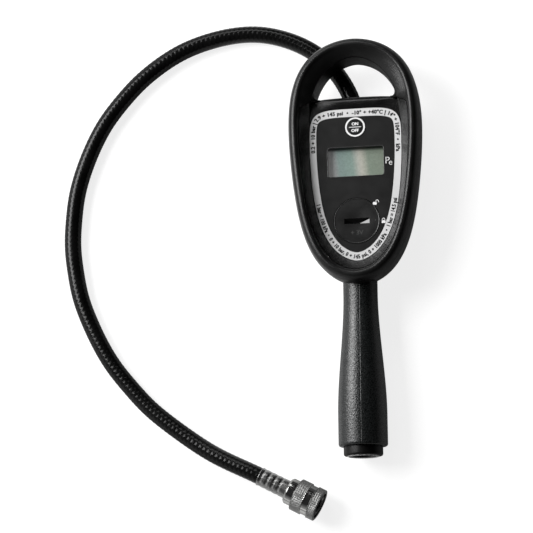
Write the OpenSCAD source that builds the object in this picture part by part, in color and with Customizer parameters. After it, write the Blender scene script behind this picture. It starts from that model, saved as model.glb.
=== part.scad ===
// Handheld digital tyre inflator: a gauge head in a rubber bumper with a hanging loop,
// a grip with a finger lever behind it, and an air hose that ends in a knurled valve chuck.
// It lies on its back. +Z is the way the display faces, +Y runs from the grip to the loop.
// Sizes are in millimetres. Places along the head and the grip are measured from the neck,
// which is the bumper's lower end on the centre line.

/* [Head] */
// Width of the bumper
head_w = 82.7; // [78:0.1:88]
// Length of the bumper, from the neck to the top of the loop
head_len = 154.7; // [148:0.1:162]
// Bumper width beside the display
side_band = 12.3; // [11:0.1:14]
// Bumper width at the top of the hanging loop
loop_band = 11.9; // [10:0.1:14]
// Bumper width below the display
chin_band = 14.1; // [13:0.1:16]
// Height of the bumper's back edge above the table
bumper_back_z = 12.8; // [12:0.1:14]
// Height at which the bumper is widest
bumper_wide_z = 28.7; // [24:0.1:31]
// Height of the bumper's front ridge
ridge_z = 36.8; // [34:0.1:39]
// How far the ridge lies inside the widest outline
ridge_in = 5.3; // [4:0.1:6.5]
// Height of the display face
face_z = 25.5; // [24.5:0.1:27]
// Height of the loop's front edge
loop_front_z = 31; // [28:0.1:33]
// Distance of the hard case's upper edge from the neck
bridge_y = 118.6; // [117:0.1:121]
// Wall of the hard case
case_wall = 2.2; // [1.8:0.1:2.6]

/* [Face] */
// Distance of the hard case's upper edge above the face panel
panel_drop = 7.5; // [6:0.1:9]
// Thickness of the face panel
panel_t = 2; // [1.6:0.1:2.2]
// Width of the silver ring at its sides
ring_side_w = 4.2; // [3:0.1:5]
// Width of the silver ring at its top and bottom
ring_end_w = 5.1; // [4:0.1:6]
// Distance of the display window from the sides of the oval
window_side = 11.5; // [10:0.1:13]
// Height of the display window
window_h = 18.7; // [16:0.1:20]
// Distance of the window's centre from the neck
window_y = 77; // [76:0.1:79]
// Corner radius of the window
window_r = 1.7; // [1:0.1:3]
// Diameter of the push button
button_d = 12.7; // [11:0.1:13]
// Distance of the push button's centre above the window's centre
button_rise = 21.95; // [21.5:0.05:22.4]
// Travel of the push button
button_travel = 0.8; // [0.4:0.1:1]
// Diameter of the battery cap
cap_d = 28.8; // [28.2:0.1:29.2]
// Distance of the battery cap's centre below the window's centre
cap_drop = 37.6; // [37.2:0.1:38.2]
// Length of the coin slot in the battery cap
slot_l = 15.7; // [12:0.1:18]
// Width of the coin slot
slot_w = 3.3; // [2:0.1:4]
// Depth of the coin slot at its middle
slot_depth = 2.2; // [1.5:0.1:2.4]

/* [Grip] */
// Largest radius of the grip
grip_r = 15.05; // [14.5:0.05:16]
// Radius of the neck
neck_r = 10.62; // [10.2:0.02:11]
// Length of the grip below the bumper, without the collar
grip_len = 98.9; // [90:0.1:110]
// Length of the neck below the bumper before it starts to swell
swell_start = 5.5; // [4:0.5:10]
// Length over which the neck swells to the full grip
swell_len = 74; // [60:0.5:80]
// Radius of the collar round the air inlet
collar_r = 12; // [11.4:0.1:13]
// Length of the collar
collar_len = 5.8; // [4:0.1:8]
// Bore radius of the threaded air inlet
inlet_r = 5.9; // [5.6:0.05:6.2]
// Length of the threaded air inlet
inlet_len = 10; // [9:0.1:12]

/* [Lever] */
// Width of the finger lever
lever_w = 12; // [10:0.1:12.4]
// Distance of the lever's pivot from the neck
pivot_y = 33.5; // [33:0.1:34]
// Height of the lever's pivot above the table
pivot_z = 5; // [4.8:0.1:5.2]
// Length of the lever from its pivot to its tip
lever_len = 82; // [70:0.5:84]
// Thickness of the lever at its tip
lever_tip_t = 3.2; // [2.6:0.1:3.4]
// Radius of the lever's pivot pin
pin_r = 1.5; // [1.2:0.05:1.6]

/* [Hose and chuck] */
// Diameter of the air hose
hose_d = 10.7; // [10:0.1:11]
// Diameter of the crimped ferrules
ferrule_d = 11.5; // [11.2:0.1:12]
// Length of the crimped ferrule at the chuck
ferrule_len = 19.5; // [18:0.1:22]
// Diameter of the chuck's knurled sleeve
sleeve_d = 20.5; // [20:0.1:22]
// Length of the chuck's sleeve
sleeve_len = 16.4; // [16:0.1:18]
// Travel of the sleeve
sleeve_travel = 3; // [2:0.1:3.4]
// Radius of the chuck's mouth, which takes a tyre valve
mouth_r = 4.15; // [4:0.05:4.3]

/* [Hidden] */

// Smoothness of true round solids, and how far a cut runs past what it cuts
$fn = 64;
over = 1;
tiny = 0.05;
run_gap = 0.05;
seat_gap = 0.25;
seam_gap = 0.15;

// Outline shares: how the ovals swell along their length, and how square their sides are
outer_shape_shares = [0.159, 0.312, 0, 1.03];
inner_shape_shares = [0.094, 0.34, 0.039, 1.146];
panel_square_share = 0.425;
panel_wide_share = 0.12;

station_count = 96;
stations = [for (i = [0 : station_count - 1]) i * 360 / station_count - 90];

// The handset is centred on its length, which places the neck
collar_end = -grip_len - collar_len;
neck_y = -(head_len + collar_end) / 2;
grip_end = -grip_len;
inner_w = head_w - 2 * side_band;
window_w = inner_w - 2 * window_side;
panel_top = bridge_y - panel_drop;
button_y = window_y + button_rise;
cap_y = window_y - cap_drop;

// Heights of the layers in the head, from the back
plate_t = 2.4;
plate_proud = 0.2;
plate_z = bumper_back_z - plate_proud;
split_z = plate_z + plate_t;
gasket_t = 0.8;
gasket_w = 1;
gasket_in = 0.6;
shelf_t = 2;
shelf_w = 2.5;
panel_z = face_z - panel_t;
shelf_z = panel_z - shelf_t;
board_t = 1.6;
board_gap = 1;
board_z = split_z + board_gap;
board_top = board_z + board_t;
board_in = 3.2;

// The bumper's section and the change from case side to loop side
bumper_back_in = 1.7;
bumper_low_in = 0.6;
bumper_low_rise = 1.3;
bumper_mid_in = 0.15;
bumper_mid_rise = 8;
lip_rise = 0.3;
crest_rise = 0.35;
crest_share = 0.1;
part_low_share = 0.27;
bridge_bow = 2.1;
blend_len = 9;
blend_high = bridge_y - bridge_bow;
blend_low = blend_high - blend_len;
bridge_edge = 1.2;

// Screws and their posts
case_screw_r = 1.2;
case_screw_head_r = 2.7;
case_screw_head_t = 1.2;
case_screw_len = 7;
post_r = 3;
post_in = 4.6;
case_screw_angles = [12, 168, -38, -142];
board_screw_r = 0.9;
board_screw_head_r = 1.9;
board_screw_head_t = 1;
board_screw_len = 2.8;
board_screw_side = 10.05;
board_screw_x = inner_w / 2 - board_screw_side;
board_screw_drop = 8.6;
board_screw_rise = 18.1;
board_screw_high = panel_top - board_screw_drop;
board_screw_low = cap_y + board_screw_rise;
cross_w = 0.6;
cross_depth = 0.6;

// The housing behind the head, and the nose over the lever
bulge_w = 42;
bulge_r = 6;
bulge_gap = 1.1;
bulge_short = 12;
nose_w = 26;
nose_back = 2.4;
nose_r = 3;
lever_gap = 0.5;
nose_roof_z = 8.4;
nose_roof_t = 1.4;
neck_groove = 1;
neck_wall_gap = 0.1;

// The display stack
glass_t = 2.7;
glass_edge = 2.2;
glass_w = window_w + 2 * glass_edge;
glass_h = window_h + 2 * glass_edge;
connector_t = 1.3;
connector_w = 2.2;
lcd_z = board_top + connector_t;
holder_wall = 1.6;
holder_lip = 0.5;
holder_lip_w = 1.6;
lens_t = 1.2;
lens_edge = 1.8;
panel_sunk = 0.05;
ring_sunk = 0.2;
ring_proud = 0.1;

// Push button and its switch
button_gap = 0.2;
button_proud = 0.3;
button_flange_r = 7.6;
button_flange_t = 1;
button_stem_r = 2;
button_stem_len = 1.9;
switch_w = 6.2;
switch_t = 1.7;
plunger_r = 1.7;
plunger_gap = 0.1;

// Battery cap, its holder and the coin cell
cap_gap = 0.15;
cap_sunk = 0.1;
skirt_r = 13;
skirt_wall = 0.6;
skirt_len = 2.2;
lug_r = 14.1;
lug_t = 1;
lug_angle = 32;
lug_gap = 0.15;
lug_slack = 1;
cap_turn = 45;
holder_r = 15.5;
holder_bore_r = 13.3;
seal_wire = 0.5;
wire_gap = 0.04;
cell_r = 12.25;
cell_t = 3;
cell_gap = 1.4;
cell_z = board_top + cell_gap;
contact_t = 0.3;
contact_w = 4;
contact_len = 14;

// Chips on the board
chip_w = 9;
chip_t = 1.2;

// Valve block, valve and sensor
block_w = 18;
block_top = 14.2;
block_floor = 2.5;
block_gap = 0.3;
tower_w = 15;
tower_len = 9.9;
neck_stub = 2.8;
tower_back = 10.2;
tower_wall = 5.4;
tower_gap = 0.6;
bridge_w = 12;
spigot_r = 3.2;
spigot_len = 10;
spigot_gap = 0.5;
spigot_bore = 1.2;
stem_in = 5.2;
stem_r = 1.5;
chamber_r = 3;
chamber_top = 19.3;
cartridge_r = 4.2;
cartridge_t = 3.6;
seat_r = 2.1;
guide_t = 0.8;
link_z = 12.3;
poppet_r = 2.6;
poppet_t = 1.2;
stem_seal_t = 0.3;
stem_gap = 0.2;
lever_top_z = 5.2;
stem_back = lever_top_z + stem_gap;
spring_wire = 0.5;
spring_turns = 3;
sensor_in = 11.5;
sensor_r = 4.5;
sensor_t = 3.4;
sensor_lead_r = 0.35;
sensor_lead_pitch = 2.54;
sensor_pocket = 2;
sensor_seal_t = 0.6;

// Grip, supply tube and inlet
grip_z = grip_r;
nose_low = ridge_in + part_low_share * (chin_band - ridge_in) + seam_gap;
neck_wall_high = nose_low - seam_gap + case_wall;
tower_low = neck_wall_high + neck_stub + tower_gap;
tower_high = tower_low + tower_len;
grip_top = tower_low - tower_gap;
stem_y = tower_low + stem_in;
grip_round = 1.4;
grip_steps = 16;
tube_r = 4.2;
tube_bore = 2;
tube_seal_t = 1;
collar_round = 1;
inlet_mouth_r = 7.4;
inlet_mouth_len = 2;
fitting_r = 9;
fitting_wall = 5;
filter_r = 5.3;
filter_t = 2;
fitting_len = inlet_mouth_len + inlet_len + filter_t + fitting_wall;
inlet_seal_t = 1;
tube_socket = 1.5;
tube_end = collar_end + fitting_len - tube_socket;
lever_roof_top = 8;
lever_roof_tip = 10.2;
lever_tip_back = 0.7;
hub_r = 3;
hub_end = pivot_y + hub_r + lever_gap;
lever_belly_z = 0.6;
lever_belly_drop = 30;

// Hose route on the table, chosen by hand
hose_exit_z = 6.2;
hose_exit = [0, 60.5, hose_exit_z];
hose_route = [hose_exit, [0, 70, 6.1], [-1, 82, 5.7], [-4, 95.5, 5.4], [-10.2, 109.3, 5.4],
    [-20, 122.5, 5.4], [-33, 133, 5.4], [-48.5, 140.5, 5.4], [-65, 144.5, 5.4],
    [-82, 144.5, 5.4], [-98.5, 141.5, 5.4], [-114.5, 136, 5.4], [-129.5, 127.5, 5.4],
    [-143, 117, 5.4], [-154.5, 105, 5.4], [-165, 91.5, 5.4], [-173, 77, 5.4], [-179.5, 61, 5.4],
    [-184, 44.5, 5.4], [-186, 28, 5.4], [-186.5, 11, 5.4], [-184.5, -6, 5.4], [-181, -22.5, 5.4],
    [-175, -38.5, 5.4], [-167.5, -54, 5.4], [-158.5, -68.5, 5.4], [-148, -81.5, 5.4],
    [-136.5, -94, 5.4], [-123.5, -105, 5.7], [-110, -115, 6.4], [-95.5, -124.5, 7.8],
    [-80.5, -132.3, 9.4], [-65.1, -139.7, 10.45]];
hose_sides = 12;
hose_steps = 2;
chuck_start = hose_route[len(hose_route) - 1];
chuck_turn = -27.2;
collar_stand = 2.3;
hose_collar_len = bulge_short - collar_stand;
fitting_flange_r = 5.2;
barb_r = 2.5;
barb_len = 10;
port_r = 3.2;
port_len = 8;
port_gap = 1;
air_r = 1.2;

exit_y = hose_exit[1] - neck_y;
hose_collar_start = exit_y - hose_collar_len;
bulge_low = hub_end + bulge_gap;
bulge_high = exit_y - bulge_short;
block_low = bulge_low + case_wall + block_gap;
block_high = bulge_high - case_wall - block_gap;
sensor_y = block_high - sensor_in;

// Chuck, measured along its axis from the start of the ferrule
crimp_count = 3;
crimp_depth = 0.35;
crimp_w = 2.4;
ferrule_ring = 3.2;
tail_r = 2.55;
tail_start = 3;
cone_len = 1.1;
cone_r = 7.2;
band_r = 8.25;
band_len = 4.7;
sleeve_start = ferrule_len + cone_len + band_len;
sleeve_end = sleeve_start + sleeve_len;
shoulder_in = 2;
shoulder = sleeve_start + shoulder_in;
barrel_r = 7.2;
barrel_sunk = 0.7;
barrel_end = sleeve_end - barrel_sunk;
knurl_rear = 6;
knurl_front = 4.8;
sleeve_groove = 0.75;
sleeve_round = 0.7;
chuck_spring_len = 4.1;
chuck_spring_wire = 0.6;
chuck_spring_turns = 2.5;
spring_seat = shoulder + chuck_spring_len;
clip_sunk = 2.45;
clip_start = sleeve_end - clip_sunk;
clip_t = 0.9;
clip_r = 7.95;
clip_bore = 6.8;
collet_r = 6.2;
collet_sunk = 1.2;
collet_len = 7.5;
collet_end = sleeve_end - collet_sunk;
collet_start = collet_end - collet_len;
collet_slot = 0.8;
chuck_seal_t = 2;
chuck_seal_bore = 1.7;
chuck_seal_r = 4.4;
chuck_pin_r = 0.8;
chuck_pin_head_r = 1.5;
chuck_pin_head_t = 0.8;
chuck_pin_reach = 5.1;
chuck_pin_tip = shoulder + chuck_pin_reach;

// Blends and outlines
function mix(a, b, t) = a + (b - a) * t;
function ease(t) = let (u = min(max(t, 0), 1)) u * u * (3 - 2 * u);
function swell(s, k) = 1 + k[0] * s + k[1] * pow(s, 2) + k[2] * pow(s, 3);
function egg_x(a, k) = sign(cos(a)) * pow(abs(cos(a)), k[3]) * swell(sin(a), k);
function egg_peak(k) = max([for (a = [-90 : 90]) egg_x(a, k)]);
// An oval of given width between two ends, its corners numbered by angle
function egg(a, w, low, high, k) =
    [w / 2 * egg_x(a, k) / egg_peak(k), (high + low) / 2 + (high - low) / 2 * sin(a)];
// Outward normals of a closed outline, and the outline moved inwards
function normals(p) = let (n = len(p)) [for (i = [0 : n - 1])
    let (d = p[(i + 1) % n] - p[(i + n - 1) % n]) [d[1], -d[0]] / norm(d)];
function inset(p, d) = let (m = normals(p)) [for (i = [0 : len(p) - 1]) p[i] - m[i] * d];

head_pts = [for (a = stations) egg(a, head_w, 0, head_len, outer_shape_shares)];
ridge_pts = inset(head_pts, ridge_in);
inner_low = chin_band;
inner_high = head_len - loop_band;
inner_pts = [for (a = stations) egg(a, inner_w, inner_low, inner_high, inner_shape_shares)];
side_blend = [for (p = inner_pts) ease((p[1] - blend_low) / (blend_high - blend_low))];
lip_z = [for (b = side_blend) mix(face_z + lip_rise, loop_front_z, b)];
part_share = [for (b = side_blend) mix(part_low_share, 1, b)];
part_pts = [for (i = [0 : station_count - 1]) mix(ridge_pts[i], inner_pts[i], part_share[i])];
part_z = [for (i = [0 : station_count - 1]) mix(ridge_z, lip_z[i], part_share[i])];

// The hard case follows the bumper's inside up to a bowed upper edge
case_side = inset(part_pts, seam_gap);
case_join = bridge_y - bridge_bow;
right_side = [for (i = [0 : station_count / 2]) if (case_side[i][1] < case_join) case_side[i]];
left_side = [for (i = [station_count / 2 : station_count - 1])
    if (case_side[i][1] < case_join) case_side[i]];
join_x = right_side[len(right_side) - 1][0];
bow_shares = [0.93, 0.85, 0.65, 0.4, 0.2, 0, -0.2, -0.4, -0.65, -0.85, -0.93];
bow_drop_shares = [0.62, 0.34, 0.15, 0.05, 0.01, 0, 0.01, 0.05, 0.15, 0.34, 0.62];
top_edge = [for (i = [0 : len(bow_shares) - 1])
    [join_x * bow_shares[i], bridge_y - bridge_bow * bow_drop_shares[i]]];
case_pts = concat(right_side, top_edge, left_side);

// The face panel: the oval below, and a squarer top with round corners
panel_mid = mix(inner_low, inner_high, (1 + panel_wide_share) / 2);
panel_half = egg(asin(panel_wide_share), inner_w, inner_low, inner_high,
    inner_shape_shares)[0];
panel_side = [for (p = inner_pts) if (p[1] < panel_mid) p];
panel_right = [for (p = panel_side) if (p[0] >= 0) p];
panel_left = [for (p = panel_side) if (p[0] < 0) p];
panel_cap = [for (a = [3 : 6 : 177])
    [panel_half * sign(cos(a)) * pow(abs(cos(a)), panel_square_share),
    panel_mid + (panel_top - panel_mid) * pow(sin(a), panel_square_share)]];
panel_outline = concat(panel_right, panel_cap, panel_left);
panel_pts = inset(panel_outline, seat_gap);
ring_normals = normals(panel_pts);
ring_inner = [for (i = [0 : len(panel_pts) - 1]) let (m = ring_normals[i])
    panel_pts[i] - m * (ring_side_w * pow(m[0], 2) + ring_end_w * pow(m[1], 2))];

chip_y = (window_y - glass_h / 2 - holder_wall + cap_y + holder_r) / 2;

// A box outline with round corners
function round_box(w, h, r, c = [0, 0]) = [for (q = [0 : 3]) for (a = [0 : 15 : 90])
    c + [(q == 0 || q == 3 ? 1 : -1) * (w / 2 - r), (q < 2 ? 1 : -1) * (h / 2 - r)]
    + r * [cos(a + 90 * q), sin(a + 90 * q)]];

// Faces of a skin over rings of n points: closed round the rings, and capped or joined
function skin_faces(count, n, joined) = [for (i = [0 : count - (joined ? 1 : 2)])
    for (j = [0 : n - 1]) let (k = (i + 1) % count, m = (j + 1) % n)
    each [[i * n + j, k * n + j, k * n + m], [i * n + j, k * n + m, i * n + m]]];
function cap_faces(count, n) = [for (j = [0 : n - 1]) let (m = (j + 1) % n)
    each [[count * n, j, m], [count * n + 1, (count - 1) * n + m, (count - 1) * n + j]]];
function centre(ring) = [for (k = [0 : 2]) [for (p = ring) p[k]] * [for (p = ring) 1]
    / len(ring)];
module skin(rings) {
    flat = [for (r = rings) each r];
    count = len(rings);
    n = len(rings[0]);
    polyhedron(concat(flat, [centre(rings[0]), centre(rings[count - 1])]),
        concat(skin_faces(count, n, false), cap_faces(count, n)));
}
module hoop(rings) {
    flat = [for (r = rings) each r];
    polyhedron(flat, [for (f = skin_faces(len(rings), len(rings[0]), true))
        [f[0], f[2], f[1]]]);
}
function level(p, z) = [for (q = p) [q[0], q[1], z]];
function levels(p, z) = [for (i = [0 : len(p) - 1]) [p[i][0], p[i][1], z[i]]];

// Placing helpers: the head's frame, a solid between two heights, and turned solids
module on_neck() translate([0, neck_y, 0]) children();
module slab(low, high) translate([0, 0, low]) linear_extrude(high - low) children();
module disc(r, low, high) translate([0, 0, low]) cylinder(r = r, h = high - low);
module along_y(y, z) translate([0, y, z]) rotate([-90, 0, 0]) children();
module rod_y(r, low, high, z) along_y(low, z) cylinder(r = r, h = high - low);
module rod_x(r, w, y, z) translate([-w / 2, y, z]) rotate([0, 90, 0]) cylinder(r = r, h = w);
module at_chuck() translate(chuck_start) rotate([0, 0, chuck_turn]) rotate([0, 90, 0])
    children();
module tube(r, bore, low, high) difference() {
    disc(r, low, high);
    disc(bore, low - over, high + over);
}
module box(w, d, low, high) translate([-w / 2, -d / 2, low]) cube([w, d, high - low]);

case_screw_spots = [for (a = case_screw_angles) let (i = round((a + 450) % 360
    / 360 * station_count) % station_count) inset(part_pts, post_in)[i]];
board_screw_spots = [[board_screw_x, board_screw_high], [-board_screw_x, board_screw_high],
    [board_screw_x, board_screw_low], [-board_screw_x, board_screw_low]];

// Rubber bumper: an outer wall, a ridge and an inner slope, carried round the head
module bumper() color([0.09, 0.09, 0.09]) difference() {
    hoop([for (i = [0 : station_count - 1]) let (m = normals(head_pts)[i], p = head_pts[i],
        wall = part_pts[i]) concat(
        [[wall[0], wall[1], bumper_back_z]],
        [for (s = [[bumper_back_in, 0], [bumper_low_in, bumper_low_rise],
            [bumper_mid_in, bumper_mid_rise]])
            [p[0] - m[0] * s[0], p[1] - m[1] * s[0], bumper_back_z + s[1]]],
        [for (a = [0 : 18 : 90]) let (d = ridge_in * (1 - cos(a)))
            [p[0] - m[0] * d, p[1] - m[1] * d, mix(bumper_wide_z, ridge_z, sin(a))]],
        [let (q = mix(ridge_pts[i], inner_pts[i], crest_share))
            [q[0], q[1], mix(ridge_z, lip_z[i], crest_share) + crest_rise]],
        [let (q = mix(ridge_pts[i], inner_pts[i], part_share[i] * (1 + crest_share) / 2))
            [q[0], q[1], mix(ridge_z, lip_z[i], part_share[i] * (1 + crest_share) / 2)]],
        [[wall[0], wall[1], part_z[i]]])]);
    rod_y(neck_r + seat_gap, -over, grip_top + over, grip_z);
}

// Space that the face looks out of: flat floor, short lip and the slope up to the ridge
module basin() skin([level(inner_pts, face_z), levels(inner_pts, lip_z),
    level(ridge_pts, ridge_z), level(inset(head_pts, ridge_in / 2), ridge_z + over)]);

module case_screw_holes(r, low, high)
    for (p = case_screw_spots) translate(p) disc(r, low, high);

// Front half of the hard case, with the shelf that carries the face panel
module front_case() color([0.07, 0.07, 0.07]) difference() {
    union() {
        difference() {
            slab(split_z, ridge_z) polygon(case_pts);
            slab(split_z - over, shelf_z) polygon(inset(case_pts, case_wall));
        }
        intersection() {
            case_screw_holes(post_r, split_z, shelf_z + tiny);
            slab(split_z, shelf_z + tiny) polygon(inset(case_pts, case_wall / 2));
        }
    }
    basin();
    slab(shelf_z - over, panel_z + over) polygon(inset(panel_outline, shelf_w));
    slab(panel_z, face_z + over) polygon(panel_outline);
    case_screw_holes(case_screw_r + run_gap, split_z - over, shelf_z - over);
    rod_y(neck_r - neck_groove + neck_wall_gap, 0, neck_wall_high + tiny, grip_z);
    rod_y(neck_r + neck_wall_gap, neck_wall_high, grip_top + over, grip_z);
    translate([0, bridge_y, face_z - bridge_edge]) rotate([45, 0, 0])
        translate([-inner_w, 0, 0]) cube([2 * inner_w, 2 * bridge_edge, 2 * bridge_edge]);
}

// Rear half of the hard case: a plate, the valve housing and the nose over the lever
module rear_case() color([0.08, 0.08, 0.08]) difference() {
    union() {
        slab(plate_z, split_z) polygon(case_pts);
        slab(0, plate_z + tiny) polygon(round_box(bulge_w, bulge_high - bulge_low, bulge_r,
            [0, (bulge_high + bulge_low) / 2]));
        slab(nose_back, plate_z + tiny) polygon(round_box(nose_w,
            bulge_low + bulge_r - nose_low, nose_r, [0, (bulge_low + bulge_r + nose_low) / 2]));
        for (p = board_screw_spots) translate(p)
            disc(board_screw_head_r, split_z - tiny, board_z);
    }
    slab(case_wall, split_z + over) polygon(round_box(bulge_w - 2 * case_wall,
        bulge_high - bulge_low - 2 * case_wall, bulge_r - case_wall,
        [0, (bulge_high + bulge_low) / 2]));
    translate([0, (bulge_low + neck_wall_high) / 2, 0])
        box(nose_w - 2 * case_wall, bulge_low - neck_wall_high + 2 * case_wall + tiny,
            nose_roof_z + nose_roof_t, split_z + over);
    translate([0, hub_end / 2, 0]) box(lever_w + 2 * lever_gap, hub_end, -over, nose_roof_z);
    translate([0, stem_y, 0]) disc(stem_r + lever_gap, nose_roof_z - over,
        nose_roof_z + nose_roof_t + over);
    rod_x(pin_r + run_gap, nose_w + 2 * over, pivot_y, pivot_z);
    rod_y(neck_r - neck_groove + neck_wall_gap, -over, neck_wall_high + tiny, grip_z);
    rod_y(neck_r + neck_wall_gap, neck_wall_high, grip_top + over, grip_z);
    rod_y(fitting_flange_r + seat_gap, bulge_high - 2 * case_wall, bulge_high + over,
        hose_exit_z);
    slab(split_z - gasket_t, split_z + over) difference() {
        polygon(inset(case_pts, gasket_in));
        polygon(inset(case_pts, gasket_in + gasket_w));
    }
    case_screw_holes(case_screw_r + seat_gap, plate_z - over, split_z + over);
    case_screw_holes(case_screw_head_r + seat_gap, plate_z - over,
        plate_z + case_screw_head_t);
    for (p = board_screw_spots) translate(p)
        disc(board_screw_r + run_gap, board_z - board_screw_len, board_z + over);
}

// Rubber cord in the groove between the case halves
module case_gasket() color([0.15, 0.15, 0.15]) difference() {
    slab(split_z - gasket_t, split_z) difference() {
        polygon(inset(case_pts, gasket_in + tiny));
        polygon(inset(case_pts, gasket_in + gasket_w - tiny));
    }
    rod_y(neck_r + seat_gap, 0, grip_top + over, grip_z);
}

module cross_cut(r, low, high) {
    box(2 * r, cross_w, low, high);
    box(cross_w, 2 * r, low, high);
}

module case_screws() color([0.5, 0.5, 0.52]) for (p = case_screw_spots) translate(p)
    difference() {
        union() {
            disc(case_screw_head_r, plate_z, plate_z + case_screw_head_t);
            disc(case_screw_r, plate_z, plate_z + case_screw_len);
        }
        cross_cut(case_screw_head_r - 2 * cross_w, plate_z - over, plate_z + cross_depth);
    }

// Black face plate with its window, button hole and battery cap hole
module face_panel() color([0.05, 0.05, 0.06]) difference() {
    slab(panel_z, face_z - panel_sunk) polygon(panel_pts);
    slab(face_z - ring_sunk, face_z + over) difference() {
        polygon(panel_pts);
        polygon(ring_inner);
    }
    slab(panel_z - over, face_z + over)
        polygon(round_box(window_w, window_h, window_r, [0, window_y]));
    translate([0, button_y, 0]) disc(button_d / 2 + button_gap, panel_z - over, face_z + over);
    translate([0, cap_y, 0]) disc(cap_d / 2 + cap_gap, panel_z - over, face_z + over);
}

module silver_ring() color([0.78, 0.78, 0.79]) slab(face_z - ring_sunk, face_z + ring_proud)
    difference() {
        polygon(inset(panel_pts, tiny));
        polygon(ring_inner);
    }

// Clear lens under the window, and the display between lens and board
module display_window() color([0.8, 0.85, 0.85, 0.4])
    translate([0, window_y, 0]) slab(panel_z - lens_t, panel_z)
    polygon(round_box(window_w + 2 * lens_edge, window_h + 2 * lens_edge, window_r));

module lcd_glass() color([0.5, 0.58, 0.52]) translate([0, window_y, 0])
    box(glass_w, glass_h, lcd_z, lcd_z + glass_t);

module lcd_holder() color([0.12, 0.12, 0.12]) translate([0, window_y, 0]) difference() {
    box(glass_w + 2 * holder_wall, glass_h + 2 * holder_wall, board_top,
        lcd_z + glass_t + holder_lip);
    box(glass_w + 2 * seam_gap, glass_h + 2 * seam_gap, board_top - over,
        lcd_z + glass_t + tiny);
    box(glass_w - 2 * holder_lip_w, glass_h - 2 * holder_lip_w, lcd_z,
        lcd_z + glass_t + over);
}

module lcd_connectors() color([0.85, 0.4, 0.5]) translate([0, window_y, 0])
    for (s = [-1, 1]) translate([0, s * (glass_h - connector_w) / 2, 0])
        box(glass_w - 2 * connector_w, connector_w, board_top, lcd_z);

module circuit_board() color([0.05, 0.3, 0.15]) difference() {
    slab(board_z, board_top) intersection() {
        polygon(inset(panel_outline, board_in));
        translate([-inner_w, tower_high + seat_gap]) square([2 * inner_w, head_len]);
    }
    for (p = board_screw_spots) translate(p)
        disc(board_screw_r + run_gap, board_z - over, board_top + over);
}

module board_screws() color([0.7, 0.6, 0.3]) for (p = board_screw_spots) translate(p)
    difference() {
        union() {
            disc(board_screw_head_r, board_top, board_top + board_screw_head_t);
            disc(board_screw_r, board_z - board_screw_len + tiny, board_top + tiny);
        }
        cross_cut(board_screw_head_r - cross_w, board_top + board_screw_head_t - cross_depth,
            board_top + board_screw_head_t + over);
    }

module controller_chip() color([0.1, 0.1, 0.1]) translate([0, chip_y, 0])
    box(chip_w, chip_w / 2, board_top, board_top + chip_t);

// Round push button, its switch and the switch's own plunger
module button_cap() color([0.05, 0.05, 0.05]) translate([0, button_y, 0]) union() {
    disc(button_d / 2, panel_z - button_flange_t, face_z + button_proud);
    disc(button_flange_r, panel_z - button_flange_t, panel_z);
    disc(button_stem_r, panel_z - button_flange_t - button_stem_len,
        panel_z - button_flange_t);
}

module switch_plunger() color([0.8, 0.75, 0.6]) translate([0, button_y, 0])
    disc(plunger_r, board_top + button_travel + plunger_gap,
        panel_z - button_flange_t - button_stem_len);

module button_switch() color([0.15, 0.15, 0.17]) translate([0, button_y, 0]) difference() {
    box(switch_w, switch_w, board_top, board_top + switch_t);
    disc(plunger_r + run_gap, board_top + tiny, board_top + switch_t + over);
}

// Battery cap: a flat disc with a coin slot, a skirt and two bayonet lugs
module wedge(r, angle) polygon(concat([[0, 0]],
    [for (s = [-1 : 0.25 : 1]) 2 * r * [cos(s * angle / 2), sin(s * angle / 2)]]));

module battery_cap() color([0.06, 0.06, 0.06]) translate([0, cap_y, 0]) difference() {
    union() {
        disc(cap_d / 2, panel_z, face_z - cap_sunk);
        disc(skirt_r, panel_z - skirt_len, panel_z);
        for (t = [0, 180]) rotate([0, 0, t]) slab(panel_z - skirt_len,
            panel_z - skirt_len + lug_t) intersection() {
                circle(r = lug_r);
                wedge(lug_r, lug_angle);
            }
    }
    disc(skirt_r - skirt_wall, panel_z - skirt_len - over, cell_z + cell_t + tiny);
    slot_r = (pow(slot_l / 2, 2) + pow(slot_depth, 2)) / (2 * slot_depth);
    translate([0, slot_w / 2, face_z - cap_sunk - slot_depth + slot_r]) rotate([90, 0, 0])
        cylinder(r = slot_r, h = slot_w);
    translate([0, 0, panel_z - 2 * seal_wire]) ring_cut(skirt_r, seal_wire);
}

// Square groove for a cord seal of the given wire, and the seal itself
module ring_cut(r, wire) difference() {
    disc(r + over, -wire, wire);
    disc(r - wire, -wire - over, wire + over);
}

module battery_cap_seal() color([0.5, 0.15, 0.1]) translate([0, cap_y, 0])
    translate([0, 0, panel_z - 2 * seal_wire]) tube(skirt_r - wire_gap, skirt_r - seal_wire
        + wire_gap, -seal_wire + wire_gap, seal_wire - wire_gap);

// Cup under the cap, with the track of its lugs
module battery_holder() color([0.14, 0.14, 0.14]) translate([0, cap_y, 0]) difference() {
    disc(holder_r, board_top, panel_z);
    disc(holder_bore_r - skirt_wall, board_top - over, panel_z + over);
    disc(skirt_r + lug_gap, panel_z - skirt_len - lug_gap, panel_z + over);
    for (t = [0, 180]) rotate([0, 0, t]) {
        rotate([0, 0, cap_turn / 2]) slab(panel_z - skirt_len - 2 * lug_gap,
            panel_z - skirt_len + lug_t + lug_gap) intersection() {
                circle(r = lug_r + lug_gap);
                wedge(lug_r, cap_turn + lug_angle + 2 * lug_slack);
            }
        rotate([0, 0, cap_turn]) slab(panel_z - skirt_len, panel_z + 2 * over)
            intersection() {
                circle(r = lug_r + 2 * lug_gap);
                wedge(lug_r, lug_angle + lug_slack);
            }
    }
}

module coin_cell() color([0.75, 0.75, 0.74]) translate([0, cap_y, 0])
    disc(cell_r, cell_z, cell_z + cell_t);

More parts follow.
